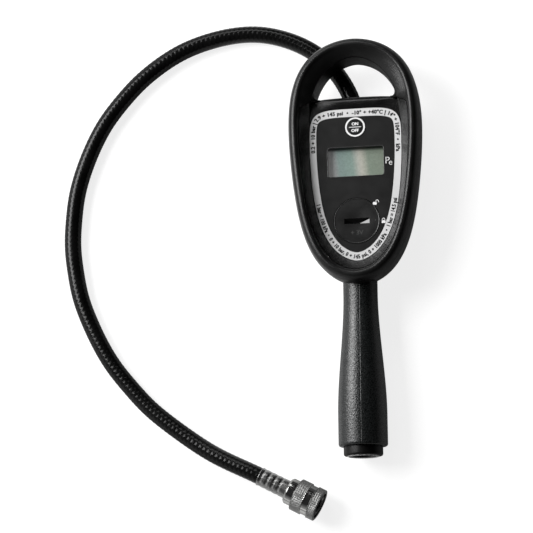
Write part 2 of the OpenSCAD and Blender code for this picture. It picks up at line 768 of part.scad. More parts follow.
// Two bent strips: one under the middle of the cell, one at its edge
module battery_contacts() color([0.85, 0.7, 0.35]) translate([0, cap_y, 0]) {
    translate([-contact_len / 2, 0, 0]) {
        box(contact_w, contact_w, board_top, board_top + contact_t);
        box(contact_t, contact_w, board_top, cell_z - contact_t);
    }
    translate([-contact_len / 4, 0, 0])
        box(contact_len / 2 + contact_t, contact_w, cell_z - contact_t, cell_z);
    translate([contact_len / 2, 0, 0]) box(contact_t, contact_w, board_top, cell_z);
    translate([(contact_len + contact_w) / 2, 0, 0])
        box(contact_w, contact_w, board_top, board_top + contact_t);
}

// Pressure sensor on the valve block, with its leads up to the board
module pressure_sensor() color([0.65, 0.65, 0.67]) translate([0, sensor_y, 0]) union() {
    disc(sensor_r, block_top - sensor_pocket, block_top - sensor_pocket + sensor_t);
    for (s = [-1 : 1]) translate([s * sensor_lead_pitch, 0, 0])
        disc(sensor_lead_r, block_top - sensor_pocket, board_z);
}

module sensor_seal() color([0.12, 0.12, 0.12]) translate([0, sensor_y, 0])
    tube(sensor_r - tiny, sensor_r - 2 * sensor_seal_t,
        block_top - sensor_pocket - sensor_seal_t, block_top - sensor_pocket);

// Valve block: the body in the housing, the tower with the valve, and the air ways
module valve_block() color([0.72, 0.6, 0.32]) difference() {
    union() {
        translate([0, (block_high + block_low) / 2, 0])
            box(block_w, block_high - block_low, block_floor, block_top);
        translate([0, (block_low + tower_high) / 2, 0])
            box(bridge_w, block_low - tower_high + 2 * tiny, tower_back, block_top);
        translate([0, (tower_low + tower_high) / 2, 0])
            box(tower_w, tower_high - tower_low, tower_back, grip_z + tower_wall);
        rod_y(spigot_r, tower_low - spigot_len, tower_low + tiny, grip_z);
    }
    translate([0, stem_y, 0]) {
        disc(cartridge_r + tiny, tower_back - over, tower_back + cartridge_t);
        disc(chamber_r, tower_back, chamber_top);
    }
    rod_y(spigot_bore, tower_low - spigot_len - over, stem_y, grip_z);
    rod_y(air_r, stem_y, block_low + sensor_r, link_z);
    translate([0, block_low + sensor_r, 0]) disc(air_r, hose_exit_z, link_z);
    rod_y(air_r, block_low + sensor_r, block_high, hose_exit_z);
    rod_y(port_r + run_gap, block_high - port_len, block_high + over, hose_exit_z);
    translate([0, sensor_y, 0]) {
        disc(sensor_r + run_gap, block_top - sensor_pocket - sensor_seal_t,
            block_top + over);
        disc(air_r, hose_exit_z, block_top - sensor_pocket);
    }
}

// Sleeve that guides the valve stem and carries the seat above its side port
module valve_cartridge() color([0.8, 0.7, 0.4]) translate([0, stem_y, 0]) difference() {
    tube(cartridge_r, stem_r + run_gap, tower_back, tower_back + cartridge_t);
    disc(seat_r, tower_back + guide_t, tower_back + cartridge_t + over);
    rod_y(air_r - run_gap, 0, cartridge_r + over, link_z);
}

module valve_stem() color([0.8, 0.8, 0.78]) translate([0, stem_y, 0]) union() {
    disc(stem_r, stem_back, tower_back + cartridge_t + stem_seal_t + tiny);
    disc(poppet_r, tower_back + cartridge_t + stem_seal_t,
        tower_back + cartridge_t + stem_seal_t + poppet_t);
}

module stem_seal() color([0.2, 0.1, 0.1]) translate([0, stem_y, 0])
    tube(poppet_r, seat_r, tower_back + cartridge_t, tower_back + cartridge_t + stem_seal_t);

// Wound spring between two heights, with as many turns as given
coil_rings = 20;
coil_sides = 6;
module coil(r, wire, turns, low, high) skin([for (i = [0 : round(turns * coil_rings)])
    let (a = i * 360 / coil_rings, z = mix(low + wire / 2, high - wire / 2,
        i / round(turns * coil_rings)))
    [for (k = [0 : coil_sides - 1]) let (b = (k + 1 / 2) * 360 / coil_sides)
        [(r + wire / 2 * cos(b)) * cos(a), (r + wire / 2 * cos(b)) * sin(a),
        z + wire / 2 * sin(b)]]]);

module valve_spring() color([0.7, 0.7, 0.72]) translate([0, stem_y, 0])
    coil(poppet_r - spring_wire, spring_wire, spring_turns,
        tower_back + cartridge_t + stem_seal_t + poppet_t, chamber_top);

// Finger lever: a hub on the pivot pin and a long blade behind the grip
lever_tip_y = pivot_y - lever_len;
module trigger() color([0.12, 0.12, 0.12]) difference() {
    rotate([90, 0, 90]) translate([0, 0, -lever_w / 2]) linear_extrude(lever_w) polygon(
        concat([for (a = [-90 : 15 : 90]) [pivot_y + hub_r * cos(a),
            pivot_z + hub_r * sin(a)]],
            [[pivot_y - hub_r, pivot_z + hub_r * pin_r / hub_r],
            [stem_y + 2 * hub_r, lever_top_z], [stem_y - hub_r, lever_top_z],
            [lever_tip_y + lever_tip_t, lever_belly_z + lever_tip_t + lever_tip_back / 2],
            [lever_tip_y + lever_tip_t / 4, lever_belly_z + lever_tip_t * 3 / 4
                + lever_tip_back / 2],
            [lever_tip_y, lever_belly_z + lever_tip_t / 2 + lever_tip_back / 2],
            [lever_tip_y + lever_tip_t / 4, lever_belly_z + lever_tip_back / 2],
            [lever_tip_y + 2 * lever_tip_t, lever_belly_z],
            [pivot_y - lever_belly_drop, lever_belly_z]]));
    rod_x(pin_r + run_gap, lever_w + 2 * over, pivot_y, pivot_z);
}

module trigger_pin() color([0.7, 0.7, 0.72])
    rod_x(pin_r, nose_w - tiny, pivot_y, pivot_z);

// Grip: a turned outline that swells from the neck, slotted at the back for the lever
function grip_r_at(d) = mix(neck_r, grip_r, ease((d - swell_start) / swell_len));
grip_drops = [for (i = [0 : grip_steps]) mix(0, -grip_end - grip_round,
    i / grip_steps)];
grip_outline = concat([[0, -grip_top], [neck_r, -grip_top],
    [neck_r, -neck_wall_high - neck_wall_gap],
    [neck_r - neck_groove, -neck_wall_high - neck_wall_gap],
    [neck_r - neck_groove, -neck_wall_high + case_wall],
    [neck_r, -neck_wall_high + case_wall]],
    [for (d = grip_drops) [grip_r_at(d), d]],
    [for (a = [30 : 30 : 90]) [grip_r_at(-grip_end) - grip_round * (1 - cos(a)),
        -grip_end - grip_round * (1 - sin(a))]],
    [[collar_r, -grip_end], [collar_r, -collar_end - collar_round]],
    [for (a = [30 : 30 : 90]) [collar_r - collar_round * (1 - cos(a)),
        -collar_end - collar_round * (1 - sin(a))]],
    [[0, -collar_end]]);
module handle_grip() color([0.06, 0.06, 0.06]) difference() {
    translate([0, 0, grip_z]) rotate([90, 0, 0]) rotate_extrude() polygon(grip_outline);
    rod_y(tube_r + run_gap, collar_end - over, grip_top + over, grip_z);
    rod_y(fitting_r + run_gap, collar_end - over, collar_end + fitting_len + inlet_seal_t,
        grip_z);
    rotate([90, 0, 90]) translate([0, 0, -lever_w / 2 - lever_gap])
        linear_extrude(lever_w + 2 * lever_gap) polygon([[grip_top + over, -over],
            [grip_top + over, lever_roof_top], [lever_tip_y - 4 * lever_gap, lever_roof_tip],
            [lever_tip_y - 4 * lever_gap, -over]]);
}

// Metal tube that carries the air up the grip, and the seal at its upper end
module supply_tube() color([0.7, 0.7, 0.72]) difference() {
    rod_y(tube_r, tube_end, tower_low - tube_seal_t, grip_z);
    rod_y(tube_bore, tube_end - over, tower_low, grip_z);
    rod_y(spigot_r + run_gap, tower_low - spigot_len - spigot_gap, tower_low, grip_z);
}

module tube_seal() color([0.12, 0.12, 0.12]) difference() {
    rod_y(tube_r - tiny, tower_low - tube_seal_t, tower_low, grip_z);
    rod_y(spigot_r + run_gap, tower_low - tube_seal_t - over, tower_low + over, grip_z);
}

// Threaded inlet in the collar, with its filter and seal
module inlet_fitting() color([0.62, 0.62, 0.63]) difference() {
    rod_y(fitting_r, collar_end, collar_end + fitting_len, grip_z);
    rod_y(inlet_mouth_r, collar_end - over, collar_end + inlet_mouth_len, grip_z);
    rod_y(inlet_r, collar_end, collar_end + inlet_mouth_len + inlet_len, grip_z);
    rod_y(filter_r + run_gap, collar_end, collar_end + inlet_mouth_len + inlet_len + filter_t,
        grip_z);
    rod_y(tube_bore, collar_end, collar_end + fitting_len + over, grip_z);
    rod_y(tube_r + run_gap, tube_end - tiny, collar_end + fitting_len + over, grip_z);
}

module inlet_filter() color([0.75, 0.55, 0.35])
    rod_y(filter_r, collar_end + inlet_mouth_len + inlet_len,
        collar_end + inlet_mouth_len + inlet_len + filter_t, grip_z);

module inlet_seal() color([0.12, 0.12, 0.12]) difference() {
    rod_y(fitting_r - tiny, collar_end + fitting_len,
        collar_end + fitting_len + inlet_seal_t, grip_z);
    rod_y(tube_r + run_gap, collar_end, collar_end + fitting_len + 2 * over, grip_z);
}

// Hose fitting screwed into the block, and the collar that holds the hose on its barb
module hose_fitting() color([0.72, 0.62, 0.38]) difference() {
    union() {
        rod_y(port_r, block_high - port_len + port_gap, block_high, hose_exit_z);
        rod_y(fitting_flange_r, block_high, hose_collar_start, hose_exit_z);
        rod_y(barb_r, hose_collar_start - tiny, hose_collar_start + barb_len - port_gap,
            hose_exit_z);
    }
    rod_y(air_r, block_high - port_len, hose_collar_start + barb_len, hose_exit_z);
}

module hose_collar() color([0.55, 0.55, 0.56]) difference() {
    rod_y(ferrule_d / 2, hose_collar_start, hose_collar_start + hose_collar_len,
        hose_exit_z);
    rod_y(barb_r + run_gap, hose_collar_start - over, hose_collar_start + barb_len,
        hose_exit_z);
}

// Smooth curve through the route's points, and a tube swept along it
function curve_at(p, i, t) = let (n = len(p), a = p[max(i - 1, 0)], b = p[i],
    c = p[min(i + 1, n - 1)], d = p[min(i + 2, n - 1)])
    (2 * b + (c - a) * t + (2 * a - 5 * b + 4 * c - d) * pow(t, 2)
    + (3 * b - a - 3 * c + d) * pow(t, 3)) / 2;
function curve(p, steps) = concat([for (i = [0 : len(p) - 2]) for (k = [0 : steps - 1])
    curve_at(p, i, k / steps)], [p[len(p) - 1]]);
function unit(v) = v / norm(v);
function heading(c, i) = i == 0 ? [0, 1, 0]
    : i == len(c) - 1 ? [cos(chuck_turn), sin(chuck_turn), 0] : unit(c[i + 1] - c[i - 1]);
module hose() color([0.05, 0.05, 0.05]) {
    line = curve(hose_route, hose_steps);
    skin([for (i = [0 : len(line) - 1]) let (h = heading(line, i),
        side = unit(cross(h, [0, 0, 1])), rise = cross(h, side))
        [for (k = [0 : hose_sides - 1]) let (a = (k + 1 / 2) * 360 / hose_sides)
            line[i] + hose_d / 2 * (side * cos(a) - rise * sin(a))]]);
}

// Crimped ferrule: three grooves, then a plain ring next to the chuck
crimp_pitch = (ferrule_len - ferrule_ring) / crimp_count;
module hose_ferrule() color([0.6, 0.6, 0.61]) difference() {
    rotate_extrude() polygon(concat([[0, 0], [ferrule_d / 2, 0]],
        [for (i = [0 : crimp_count - 1]) each [
            [ferrule_d / 2, (i + 1) * crimp_pitch - crimp_w],
            [ferrule_d / 2 - crimp_depth, (i + 1) * crimp_pitch - crimp_w * 2 / 3],
            [ferrule_d / 2 - crimp_depth, (i + 1) * crimp_pitch - crimp_w / 3],
            [ferrule_d / 2, (i + 1) * crimp_pitch]]],
        [[ferrule_d / 2, ferrule_len - tiny], [0, ferrule_len - tiny]]));
    disc(tail_r + run_gap, tail_start - tiny, ferrule_len + over);
}

// Chuck body: hose tail, rear cone, smooth band and the barrel inside the sleeve
module chuck_body() color([0.66, 0.66, 0.67]) difference() {
    union() {
        disc(tail_r, tail_start, ferrule_len + tiny);
        translate([0, 0, ferrule_len]) cylinder(r1 = cone_r, r2 = band_r, h = cone_len);
        disc(band_r, ferrule_len + cone_len, shoulder);
        disc(barrel_r, shoulder - tiny, barrel_end);
    }
    disc(air_r, tail_start - over, shoulder + over);
    disc(chuck_pin_head_r + run_gap, shoulder - chuck_pin_head_t, shoulder + over);
    disc(chuck_seal_r, shoulder, barrel_end + over);
    disc(collet_r + run_gap, collet_start, barrel_end + over);
    translate([0, 0, clip_start - tiny]) tube(barrel_r + over, clip_bore, 0,
        clip_t + 2 * tiny);
}

// Knurled sleeve: two raised bands with a plain groove between them
module chuck_sleeve() color([0.7, 0.7, 0.71]) difference() {
    rotate_extrude() polygon([[0, sleeve_start],
        [sleeve_d / 2 - sleeve_round, sleeve_start], [sleeve_d / 2, sleeve_start
            + sleeve_round / 2],
        [sleeve_d / 2, sleeve_start + knurl_rear - sleeve_round / 2],
        [sleeve_d / 2 - sleeve_groove, sleeve_start + knurl_rear],
        [sleeve_d / 2 - sleeve_groove, sleeve_end - knurl_front],
        [sleeve_d / 2, sleeve_end - knurl_front + sleeve_round / 2],
        [sleeve_d / 2, sleeve_end - sleeve_round],
        [sleeve_d / 2 - sleeve_round, sleeve_end], [0, sleeve_end]]);
    disc(band_r + run_gap, sleeve_start - over, spring_seat);
    disc(barrel_r + run_gap, sleeve_start, clip_start);
    disc(clip_r + seam_gap, clip_start - tiny, sleeve_end + over);
}

module chuck_spring() color([0.75, 0.75, 0.76])
    coil((barrel_r + band_r) / 2, chuck_spring_wire, chuck_spring_turns, shoulder, spring_seat);

module chuck_seal() color([0.08, 0.08, 0.08])
    tube(chuck_seal_r - run_gap, chuck_seal_bore, shoulder, shoulder + chuck_seal_t);

module chuck_pin() color([0.8, 0.72, 0.45]) union() {
    disc(chuck_pin_head_r, shoulder - chuck_pin_head_t, shoulder);
    disc(chuck_pin_r, shoulder - chuck_pin_head_t, chuck_pin_tip);
}

// Slotted jaws that close on the tyre valve
module chuck_collet() color([0.78, 0.68, 0.4]) difference() {
    tube(collet_r, mouth_r, collet_start + tiny, collet_end);
    for (t = [0, 90]) rotate([0, 0, t])
        box(collet_slot, 2 * collet_r + over, collet_start + 2 * over, collet_end + over);
}

module retaining_ring() color([0.5, 0.5, 0.5])
    tube(clip_r, clip_bore + tiny, clip_start, clip_start + clip_t);

on_neck() bumper();
on_neck() front_case();
on_neck() rear_case();
on_neck() case_gasket();
on_neck() case_screws();
on_neck() face_panel();
on_neck() silver_ring();
on_neck() display_window();
on_neck() lcd_glass();
on_neck() lcd_holder();
on_neck() lcd_connectors();
on_neck() circuit_board();
on_neck() board_screws();
on_neck() controller_chip();
on_neck() button_cap();
on_neck() switch_plunger();
on_neck() button_switch();
on_neck() battery_cap();
on_neck() battery_cap_seal();
on_neck() battery_holder();
on_neck() coin_cell();
on_neck() battery_contacts();
on_neck() pressure_sensor();
on_neck() sensor_seal();
on_neck() valve_block();
on_neck() valve_cartridge();
on_neck() valve_stem();
on_neck() stem_seal();
on_neck() valve_spring();
on_neck() trigger();
on_neck() trigger_pin();
on_neck() handle_grip();
on_neck() supply_tube();
on_neck() tube_seal();
on_neck() inlet_fitting();
on_neck() inlet_filter();
on_neck() inlet_seal();
on_neck() hose_fitting();
on_neck() hose_collar();
hose();
at_chuck() hose_ferrule();
at_chuck() chuck_body();
at_chuck() chuck_sleeve();
at_chuck() chuck_spring();
at_chuck() chuck_seal();
at_chuck() chuck_pin();
at_chuck() chuck_collet();
at_chuck() retaining_ring();
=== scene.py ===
import math

import bmesh
import bpy
import numpy as np
from mathutils import Matrix


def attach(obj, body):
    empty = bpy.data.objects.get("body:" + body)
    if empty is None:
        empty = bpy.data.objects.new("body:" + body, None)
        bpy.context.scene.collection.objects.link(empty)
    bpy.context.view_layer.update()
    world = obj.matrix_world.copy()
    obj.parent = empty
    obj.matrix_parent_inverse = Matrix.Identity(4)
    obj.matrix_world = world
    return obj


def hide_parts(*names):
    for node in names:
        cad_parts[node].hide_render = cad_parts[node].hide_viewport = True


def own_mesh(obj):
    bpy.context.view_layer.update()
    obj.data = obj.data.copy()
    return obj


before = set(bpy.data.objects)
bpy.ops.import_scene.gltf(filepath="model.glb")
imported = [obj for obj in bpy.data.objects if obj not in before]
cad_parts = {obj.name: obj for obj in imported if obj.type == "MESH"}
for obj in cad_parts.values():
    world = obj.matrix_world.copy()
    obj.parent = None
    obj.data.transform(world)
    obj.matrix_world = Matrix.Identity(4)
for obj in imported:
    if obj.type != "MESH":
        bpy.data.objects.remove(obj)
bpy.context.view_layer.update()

print("frame loaded")

mm = 0.001
scene = bpy.context.scene


def newObject(name, data):
    # an object in the scene, at the origin
    obj = bpy.data.objects.new(name, data)
    scene.collection.objects.link(obj)
    return obj


def standAt(obj, right, up, back, place):
    # a camera or a lamp is turned to three axes and put at its place, in metres
    axes = np.eye(4)
    axes[:3, :] = np.stack([right, up, back, place], 1)
    obj.matrix_world = Matrix(axes.tolist())


# the camera: the fitted view of the photograph, places in millimetres
cameraView = {
    "place": (175.650, -265.114, 1275.517),
    "right": (0.98273535, -0.00975634, -0.18475941),
    "up": (0.04551928, 0.98066383, 0.19033248),
    "back": (0.17932992, -0.19545657, 0.96417711),
    "focal": 141.64, "sensor": 36,
    "sight": 20,  # how far it sees, in metres
}
cameraData = bpy.data.cameras.new("photoCamera")
cameraData.lens = cameraView["focal"]
cameraData.sensor_width = cameraView["sensor"]
cameraData.clip_end = cameraView["sight"]
scene.camera = newObject("photoCamera", cameraData)
standAt(scene.camera, cameraView["right"], cameraView["up"], cameraView["back"],
        np.array(cameraView["place"]) * mm)
print("camera placed")


def shaderOf(material):
    # every material here has one Principled shader
    return material.node_tree.nodes["Principled BSDF"]


def colorOf(value):
    # a number stands for a grey
    return (*value, 1) if isinstance(value, tuple) else (value, value, value, 1)


def newMaterial(name, color, rough, **sockets):
    # constants are set on the shader's own sockets
    material = bpy.data.materials.new(name)
    material.use_nodes = True
    shader = shaderOf(material)
    shader.inputs["Base Color"].default_value = colorOf(color)
    shader.inputs["Roughness"].default_value = rough
    for socket, value in sockets.items():
        shader.inputs[socket.replace("_", " ")].default_value = value
    return material


def addNode(tree, kind, **inputs):
    # a node with constants on its sockets
    node = tree.nodes.new(kind)
    for socket, value in inputs.items():
        node.inputs[socket.replace("_", " ")].default_value = value
    return node


def joinNodes(start, end):
    # a link in the tree that holds both sockets
    start.id_data.links.new(start, end)


def mathNode(tree, operation, *sources):
    # each source is a socket or a number
    node = addNode(tree, "ShaderNodeMath")
    node.operation = operation
    for socket, source in zip(node.inputs, sources):
        if isinstance(source, (int, float)):
            socket.default_value = source
        else:
            joinNodes(source, socket)
    return node.outputs["Value"]


def placeOf(tree, kind="Object"):
    # the place on a piece, or with Generated the world's direction of view
    return addNode(tree, "ShaderNodeTexCoord").outputs[kind]


def placeParts(tree, kind="Object"):
    # that place as X, Y and Z
    parts = addNode(tree, "ShaderNodeSeparateXYZ")
    joinNodes(placeOf(tree, kind), parts.inputs["Vector"])
    return parts.outputs


def rescaled(tree, source, low, high, start, end):
    # from start to end while the source runs from low to high, and level beyond them
    scale = addNode(tree, "ShaderNodeMapRange", From_Min=low, From_Max=high, To_Min=start,
                    To_Max=end)
    joinNodes(source, scale.inputs["Value"])
    return scale.outputs["Result"]


def fadeAlong(tree, source, first, last, share):
    # 1 before the first value, and the share after the last
    return rescaled(tree, source, first, last, 1, share)


def rampOf(tree, source, stops):
    # greys or colours at places on the source's way from 0 to 1
    ramp = addNode(tree, "ShaderNodeValToRGB")
    joinNodes(source, ramp.inputs["Fac"])
    elements = ramp.color_ramp.elements
    while len(elements) < len(stops):
        elements.new(0.5)
    for element, (at, value) in zip(elements, stops):
        element.position, element.color = at, colorOf(value)
    return ramp.outputs["Color"]


def noiseOf(tree, scale, detail):
    # the scale is in cells for each metre
    noise = addNode(tree, "ShaderNodeTexNoise", Scale=scale, Detail=detail)
    joinNodes(placeOf(tree), noise.inputs["Vector"])
    return noise.outputs["Fac"]


spotEdge = (0.35, 0.65)  # values of the noise between which one shade turns into the other


def spotsOf(tree, scale, low, high, detail=3):
    # spots of the high shade on the low one
    return rampOf(tree, noiseOf(tree, scale, detail), tuple(zip(spotEdge, (low, high))))


def addSurface(material, spots, low, high, rough, grain, depth):
    # spots of shade and of gloss, and a fine grain whose height is in metres
    tree, shader = material.node_tree, shaderOf(material)
    joinNodes(spotsOf(tree, spots[0], low, high), shader.inputs["Base Color"])
    joinNodes(spotsOf(tree, spots[1], *rough), shader.inputs["Roughness"])
    bump = addNode(tree, "ShaderNodeBump", Distance=depth)
    joinNodes(noiseOf(tree, grain, 2), bump.inputs["Height"])
    joinNodes(bump.outputs["Normal"], shader.inputs["Normal"])
    return material


def moulded(name, low, high, rough, grain, depth, level=0.5, spots=(60, 180)):
    # plastic or rubber; the level is that of its reflection
    material = newMaterial(name, low, sum(rough) / 2, Specular_IOR_Level=level)
    return addSurface(material, spots, low, high, rough, grain, depth)


def metal(name, low, high, rough, edgeTint=1, grain=2500, depth=0.00001, spots=(150, 400)):
    # the edge tint is the grey towards which a grazing reflection falls
    material = newMaterial(name, low, sum(rough) / 2, Metallic=1, Specular_Tint=colorOf(edgeTint))
    return addSurface(material, spots, low, high, rough, grain, depth)


def duller(material, first, last, share):
    # the roughness grows along y between two places, to its share
    tree, rough = material.node_tree, shaderOf(material).inputs["Roughness"]
    growth = fadeAlong(tree, placeParts(tree)["Y"], first, last, share)
    joinNodes(mathNode(tree, "MULTIPLY", rough.links[0].from_socket, growth), rough)


def tinted(tree, color, tint):
    # one colour times the other
    blend = addNode(tree, "ShaderNodeMix")
    blend.data_type, blend.blend_type = "RGBA", "MULTIPLY"
    blend.inputs["Factor"].default_value = 1
    joinNodes(color, blend.inputs["A"])
    joinNodes(tint, blend.inputs["B"])
    return blend.outputs["Result"]


displayLook = {
    # paintedGlow: painted light, the glass glows in its own colours though it has no backlight
    "color": (0.2, 0.25, 0.22), "rough": 0.3, "paintedGlow": 0.35,
    "reach": (-11.3, 23.7), "lean": 0.12,  # x of the first and the last band, and their slant
    # painted shadow: darker between these y, under the window's upper edge, to this share
    "shade": (59.4, 61.0), "paintedShadowShare": 0.12,
    "speckle": (1000, 0.84, 1.0), "gloss": (300, 0.28, 0.34),  # scale, low and high
    # the pale stops at 0.55 and 0.6 are a painted reflection streak, the others the glass's own
    # colours
    "bands": ((0.0, (0.33, 0.33, 0.33)), (0.1, (0.26, 0.27, 0.27)), (0.19, (0.18, 0.24, 0.225)),
              (0.42, (0.19, 0.26, 0.23)), (0.55, (0.38, 0.38, 0.34)), (0.6, (0.36, 0.36, 0.31)),
              (0.72, (0.18, 0.22, 0.175)), (1.0, (0.17, 0.2, 0.16))),
}


def makeDisplay(d):
    # colour bands across the glass with a painted reflection streak, a painted shadow under the
    # window's upper edge, and a painted glow in the same colours
    material = newMaterial("displayGlass", d["color"], d["rough"])
    tree, shader = material.node_tree, shaderOf(material)
    place = placeParts(tree)
    slanted = mathNode(tree, "MULTIPLY_ADD", place["Y"], d["lean"], place["X"])
    lowX, highX = d["reach"]
    bands = rampOf(tree, rescaled(tree, slanted, lowX * mm, highX * mm, 0, 1), d["bands"])
    speckled = tinted(tree, bands, spotsOf(tree, *d["speckle"], detail=2))
    # painted shadow of the window's upper edge on the glass
    lowY, highY = d["shade"]
    shade = fadeAlong(tree, place["Y"], lowY * mm, highY * mm, d["paintedShadowShare"])
    glass = tinted(tree, speckled, shade)
    # painted glow: the band colours also go to the emission
    for socket in ("Base Color", "Emission Color"):
        joinNodes(glass, shader.inputs[socket])
    shader.inputs["Emission Strength"].default_value = d["paintedGlow"]
    joinNodes(spotsOf(tree, *d["gloss"]), shader.inputs["Roughness"])
    return material


# low and high shade, roughness, grain in cells for each metre and its height in metres,
# level of reflection, scales of the spots of shade and of gloss
mouldedLooks = {
    "bumperRubber": (0.004, 0.008, (0.28, 0.36), 1500, 0.0001, 0.25),
    "casePlastic": (0.003, 0.006, (0.2, 0.27), 1800, 0.00012, 0.4),
    "panelPlastic": (0.008, 0.011, (0.28, 0.32), 3000, 0.00001, 0.35),
    "gripPlastic": ((0.001, 0.0012, 0.0012), (0.014, 0.016, 0.016), (0.16, 0.48), 1100, 0.0002,
                    0.4, (1500, 1300)),
    "hoseRubber": (0.002, 0.004, (0.15, 0.2), 4000, 0.00002, 0.17),
    "innerPlastic": (0.014, 0.022, (0.45, 0.55), 2000, 0.00003),
    "leverPlastic": (0.005, 0.009, (0.3, 0.38), 1300, 0.0001, 0.4),
    "sealRubber": ((0.02, 0.012, 0.01), (0.03, 0.02, 0.016), (0.5, 0.6), 1800, 0.00003),
    "connectorRubber": ((0.5, 0.16, 0.2), (0.56, 0.2, 0.24), (0.5, 0.6), 1800, 0.00003),
    "boardGreen": ((0.01, 0.07, 0.03), (0.014, 0.09, 0.04), (0.3, 0.4), 900, 0.00004),
    "chipBlack": (0.01, 0.015, (0.4, 0.5), 3000, 0.00002),
    "switchPlastic": ((0.5, 0.45, 0.33), (0.55, 0.5, 0.38), (0.4, 0.5), 2000, 0.00003),
    "silverRing": (0.58, 0.62, (0.38, 0.46), 2500, 0.00001),
    # painted shade: the coin slot is the cap's plastic painted darker, as shade in its recess
    "slotPaintedShade": (0.001, 0.002, (0.14, 0.18), 3000, 0.00001),
    # painted highlight: the window's rim is the panel's plastic painted paler
    "rimPaintedHighlight": (0.02, 0.028, (0.3, 0.36), 2500, 0.00001),
    # painted highlight: raised marks of the cap's plastic painted paler
    "markPaintedHighlight": (0.036, 0.044, (0.3, 0.36), 2500, 0.00001),
    "buttonPlastic": (0.003, 0.005, (0.3, 0.36), 3000, 0.00001, 0.35),
    # painted shade: the collar is the grip's plastic painted darker, with a lower reflection level
    "collarShadedPlastic": (0.002, 0.004, (0.36, 0.44), 2500, 0.00002, 0.15),
    "capPlastic": (0.007, 0.01, (0.28, 0.34), 3000, 0.00001, 0.35),
    "printWhite": (0.72, 0.8, (0.4, 0.5), 2500, 0.00001),
    "printBlack": (0.003, 0.005, (0.4, 0.5), 2500, 0.00001, 0.2),
}
# low and high shade, roughness, edge tint, grain and its height
metalLooks = {
    "filterBronze": ((0.42, 0.24, 0.1), (0.55, 0.33, 0.16), (0.5, 0.7), 1, 4000, 0.0002),
    "nickel": ((0.34, 0.34, 0.335), (0.41, 0.41, 0.4), (0.12, 0.17), 0.4),
    "ferruleSteel": ((0.19, 0.19, 0.188), (0.26, 0.26, 0.256), (0.27, 0.34)),
    # painted shade: the knurled bands are the sleeve's nickel painted darker, as shade in their
    # valleys
    "knurlNickelShaded": ((0.2, 0.2, 0.197), (0.26, 0.26, 0.256), (0.4, 0.48)),
    "darkSteel": (0.07, 0.11, (0.3, 0.4)),
    "steel": ((0.5, 0.5, 0.51), (0.58, 0.58, 0.59), (0.2, 0.3)),
    "brass": ((0.6, 0.43, 0.18), (0.68, 0.5, 0.23), (0.2, 0.32)),
    "aluminium": ((0.62, 0.62, 0.63), (0.7, 0.7, 0.71), (0.28, 0.36)),
}
hoseDulling = (0.05, -0.09, 1.3)  # y in metres where it starts and ends, and its share
finish = {"displayGlass": makeDisplay(displayLook),
          "clearLens": newMaterial("clearLens", 0.02, 0.04, Alpha=0.06)}
finish.update({name: moulded(name, *look) for name, look in mouldedLooks.items()})
finish.update({name: metal(name, *look) for name, look in metalLooks.items()})
duller(finish["hoseRubber"], *hoseDulling)
print("materials made")


# mesh helpers: points are in millimetres
mergeReach = {"newPiece": 0.5e-6, "cadCopy": 1e-6}  # doubles lie closer than this, in metres


def meshPiece(name, points, faces, smoothAngle=40):
    # doubles merged, faces outward, and smooth but where it bends by more than the angle
    mesh = bpy.data.meshes.new(name)
    mesh.from_pydata(np.asarray(points).reshape(-1, 3) * mm, [], faces)
    work = bmesh.new()
    work.from_mesh(mesh)
    bmesh.ops.remove_doubles(work, verts=work.verts, dist=mergeReach["newPiece"])
    bmesh.ops.recalc_face_normals(work, faces=work.faces)
    work.to_mesh(mesh)
    work.free()
    mesh.shade_smooth()
    mesh.set_sharp_from_angle(angle=math.radians(smoothAngle))
    return newObject(name, mesh)


def gridPiece(name, points, closeRows=False, smoothAngle=40):
    # quads between neighbouring rows and columns; the last column always joins the first
    rows, cols = points.shape[:2]
    i = np.arange(rows if closeRows else rows - 1)[:, None]
    j = np.arange(cols)[None, :]
    nextI, nextJ = (i + 1) % rows, (j + 1) % cols
    corners = np.stack(np.broadcast_arrays(i * cols + j, nextI * cols + j,
                                           nextI * cols + nextJ, i * cols + nextJ), -1)
    return meshPiece(name, points, corners.reshape(-1, 4), smoothAngle)


def addPiece(obj, body, slot, material, *nodes):
    # a finish, the body it rides on, its slot, which is not used, and the nodes that it stands for
    obj.data.materials.clear()
    obj.data.materials.append(finish[material])
    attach(obj, body)
    if nodes:
        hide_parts(*nodes)
    return obj


def addZone(obj, material, inZone):
    # a second finish on the faces whose middles lie in the zone, places in millimetres
    mesh = obj.data
    mesh.materials.append(finish[material])
    middles = np.zeros(len(mesh.polygons) * 3)
    mesh.polygons.foreach_get("center", middles)
    mesh.polygons.foreach_set("material_index",
                              inZone(middles.reshape(-1, 3) / mm).astype(np.int32))


def mix(a, b, t):
    # a + (b - a) t
    return a + (b - a) * t


def ease(t):
    # 3 u^2 - 2 u^3 with u held between 0 and 1
    u = np.clip(t, 0, 1)
    return u * u * (3 - 2 * u)


def unit(vectors):
    # each vector at length 1
    return vectors / np.linalg.norm(vectors, axis=-1, keepdims=True)


def lengthsAlong(line):
    # way from a line's first point to each of its points
    return np.concatenate([[0], np.cumsum(np.linalg.norm(np.diff(line, axis=0), axis=1))])


def quadratic(start, corner, stop, share):
    # (1 - t)^2 start + 2 t (1 - t) corner + t^2 stop
    return (1 - share) ** 2 * start + 2 * share * (1 - share) * corner + share ** 2 * stop


def roundCorners(profile, radius, steps=4, most=0.45):
    # each inner corner becomes a quadratic curve that starts radius before it, or at most of
    # the side
    profile = np.asarray(profile, float)
    soft = [profile[:1]]
    share = np.linspace(0, 1, steps + 1)[:, None]
    for before, corner, after in zip(profile[:-2], profile[1:-1], profile[2:]):
        reach = [min(radius / max(np.linalg.norm(end - corner), 1e-9), most)
                 for end in (before, after)]
        soft.append(quadratic(mix(corner, before, reach[0]), corner,
                              mix(corner, after, reach[1]), share))
    soft.append(profile[-1:])
    return np.concatenate(soft)


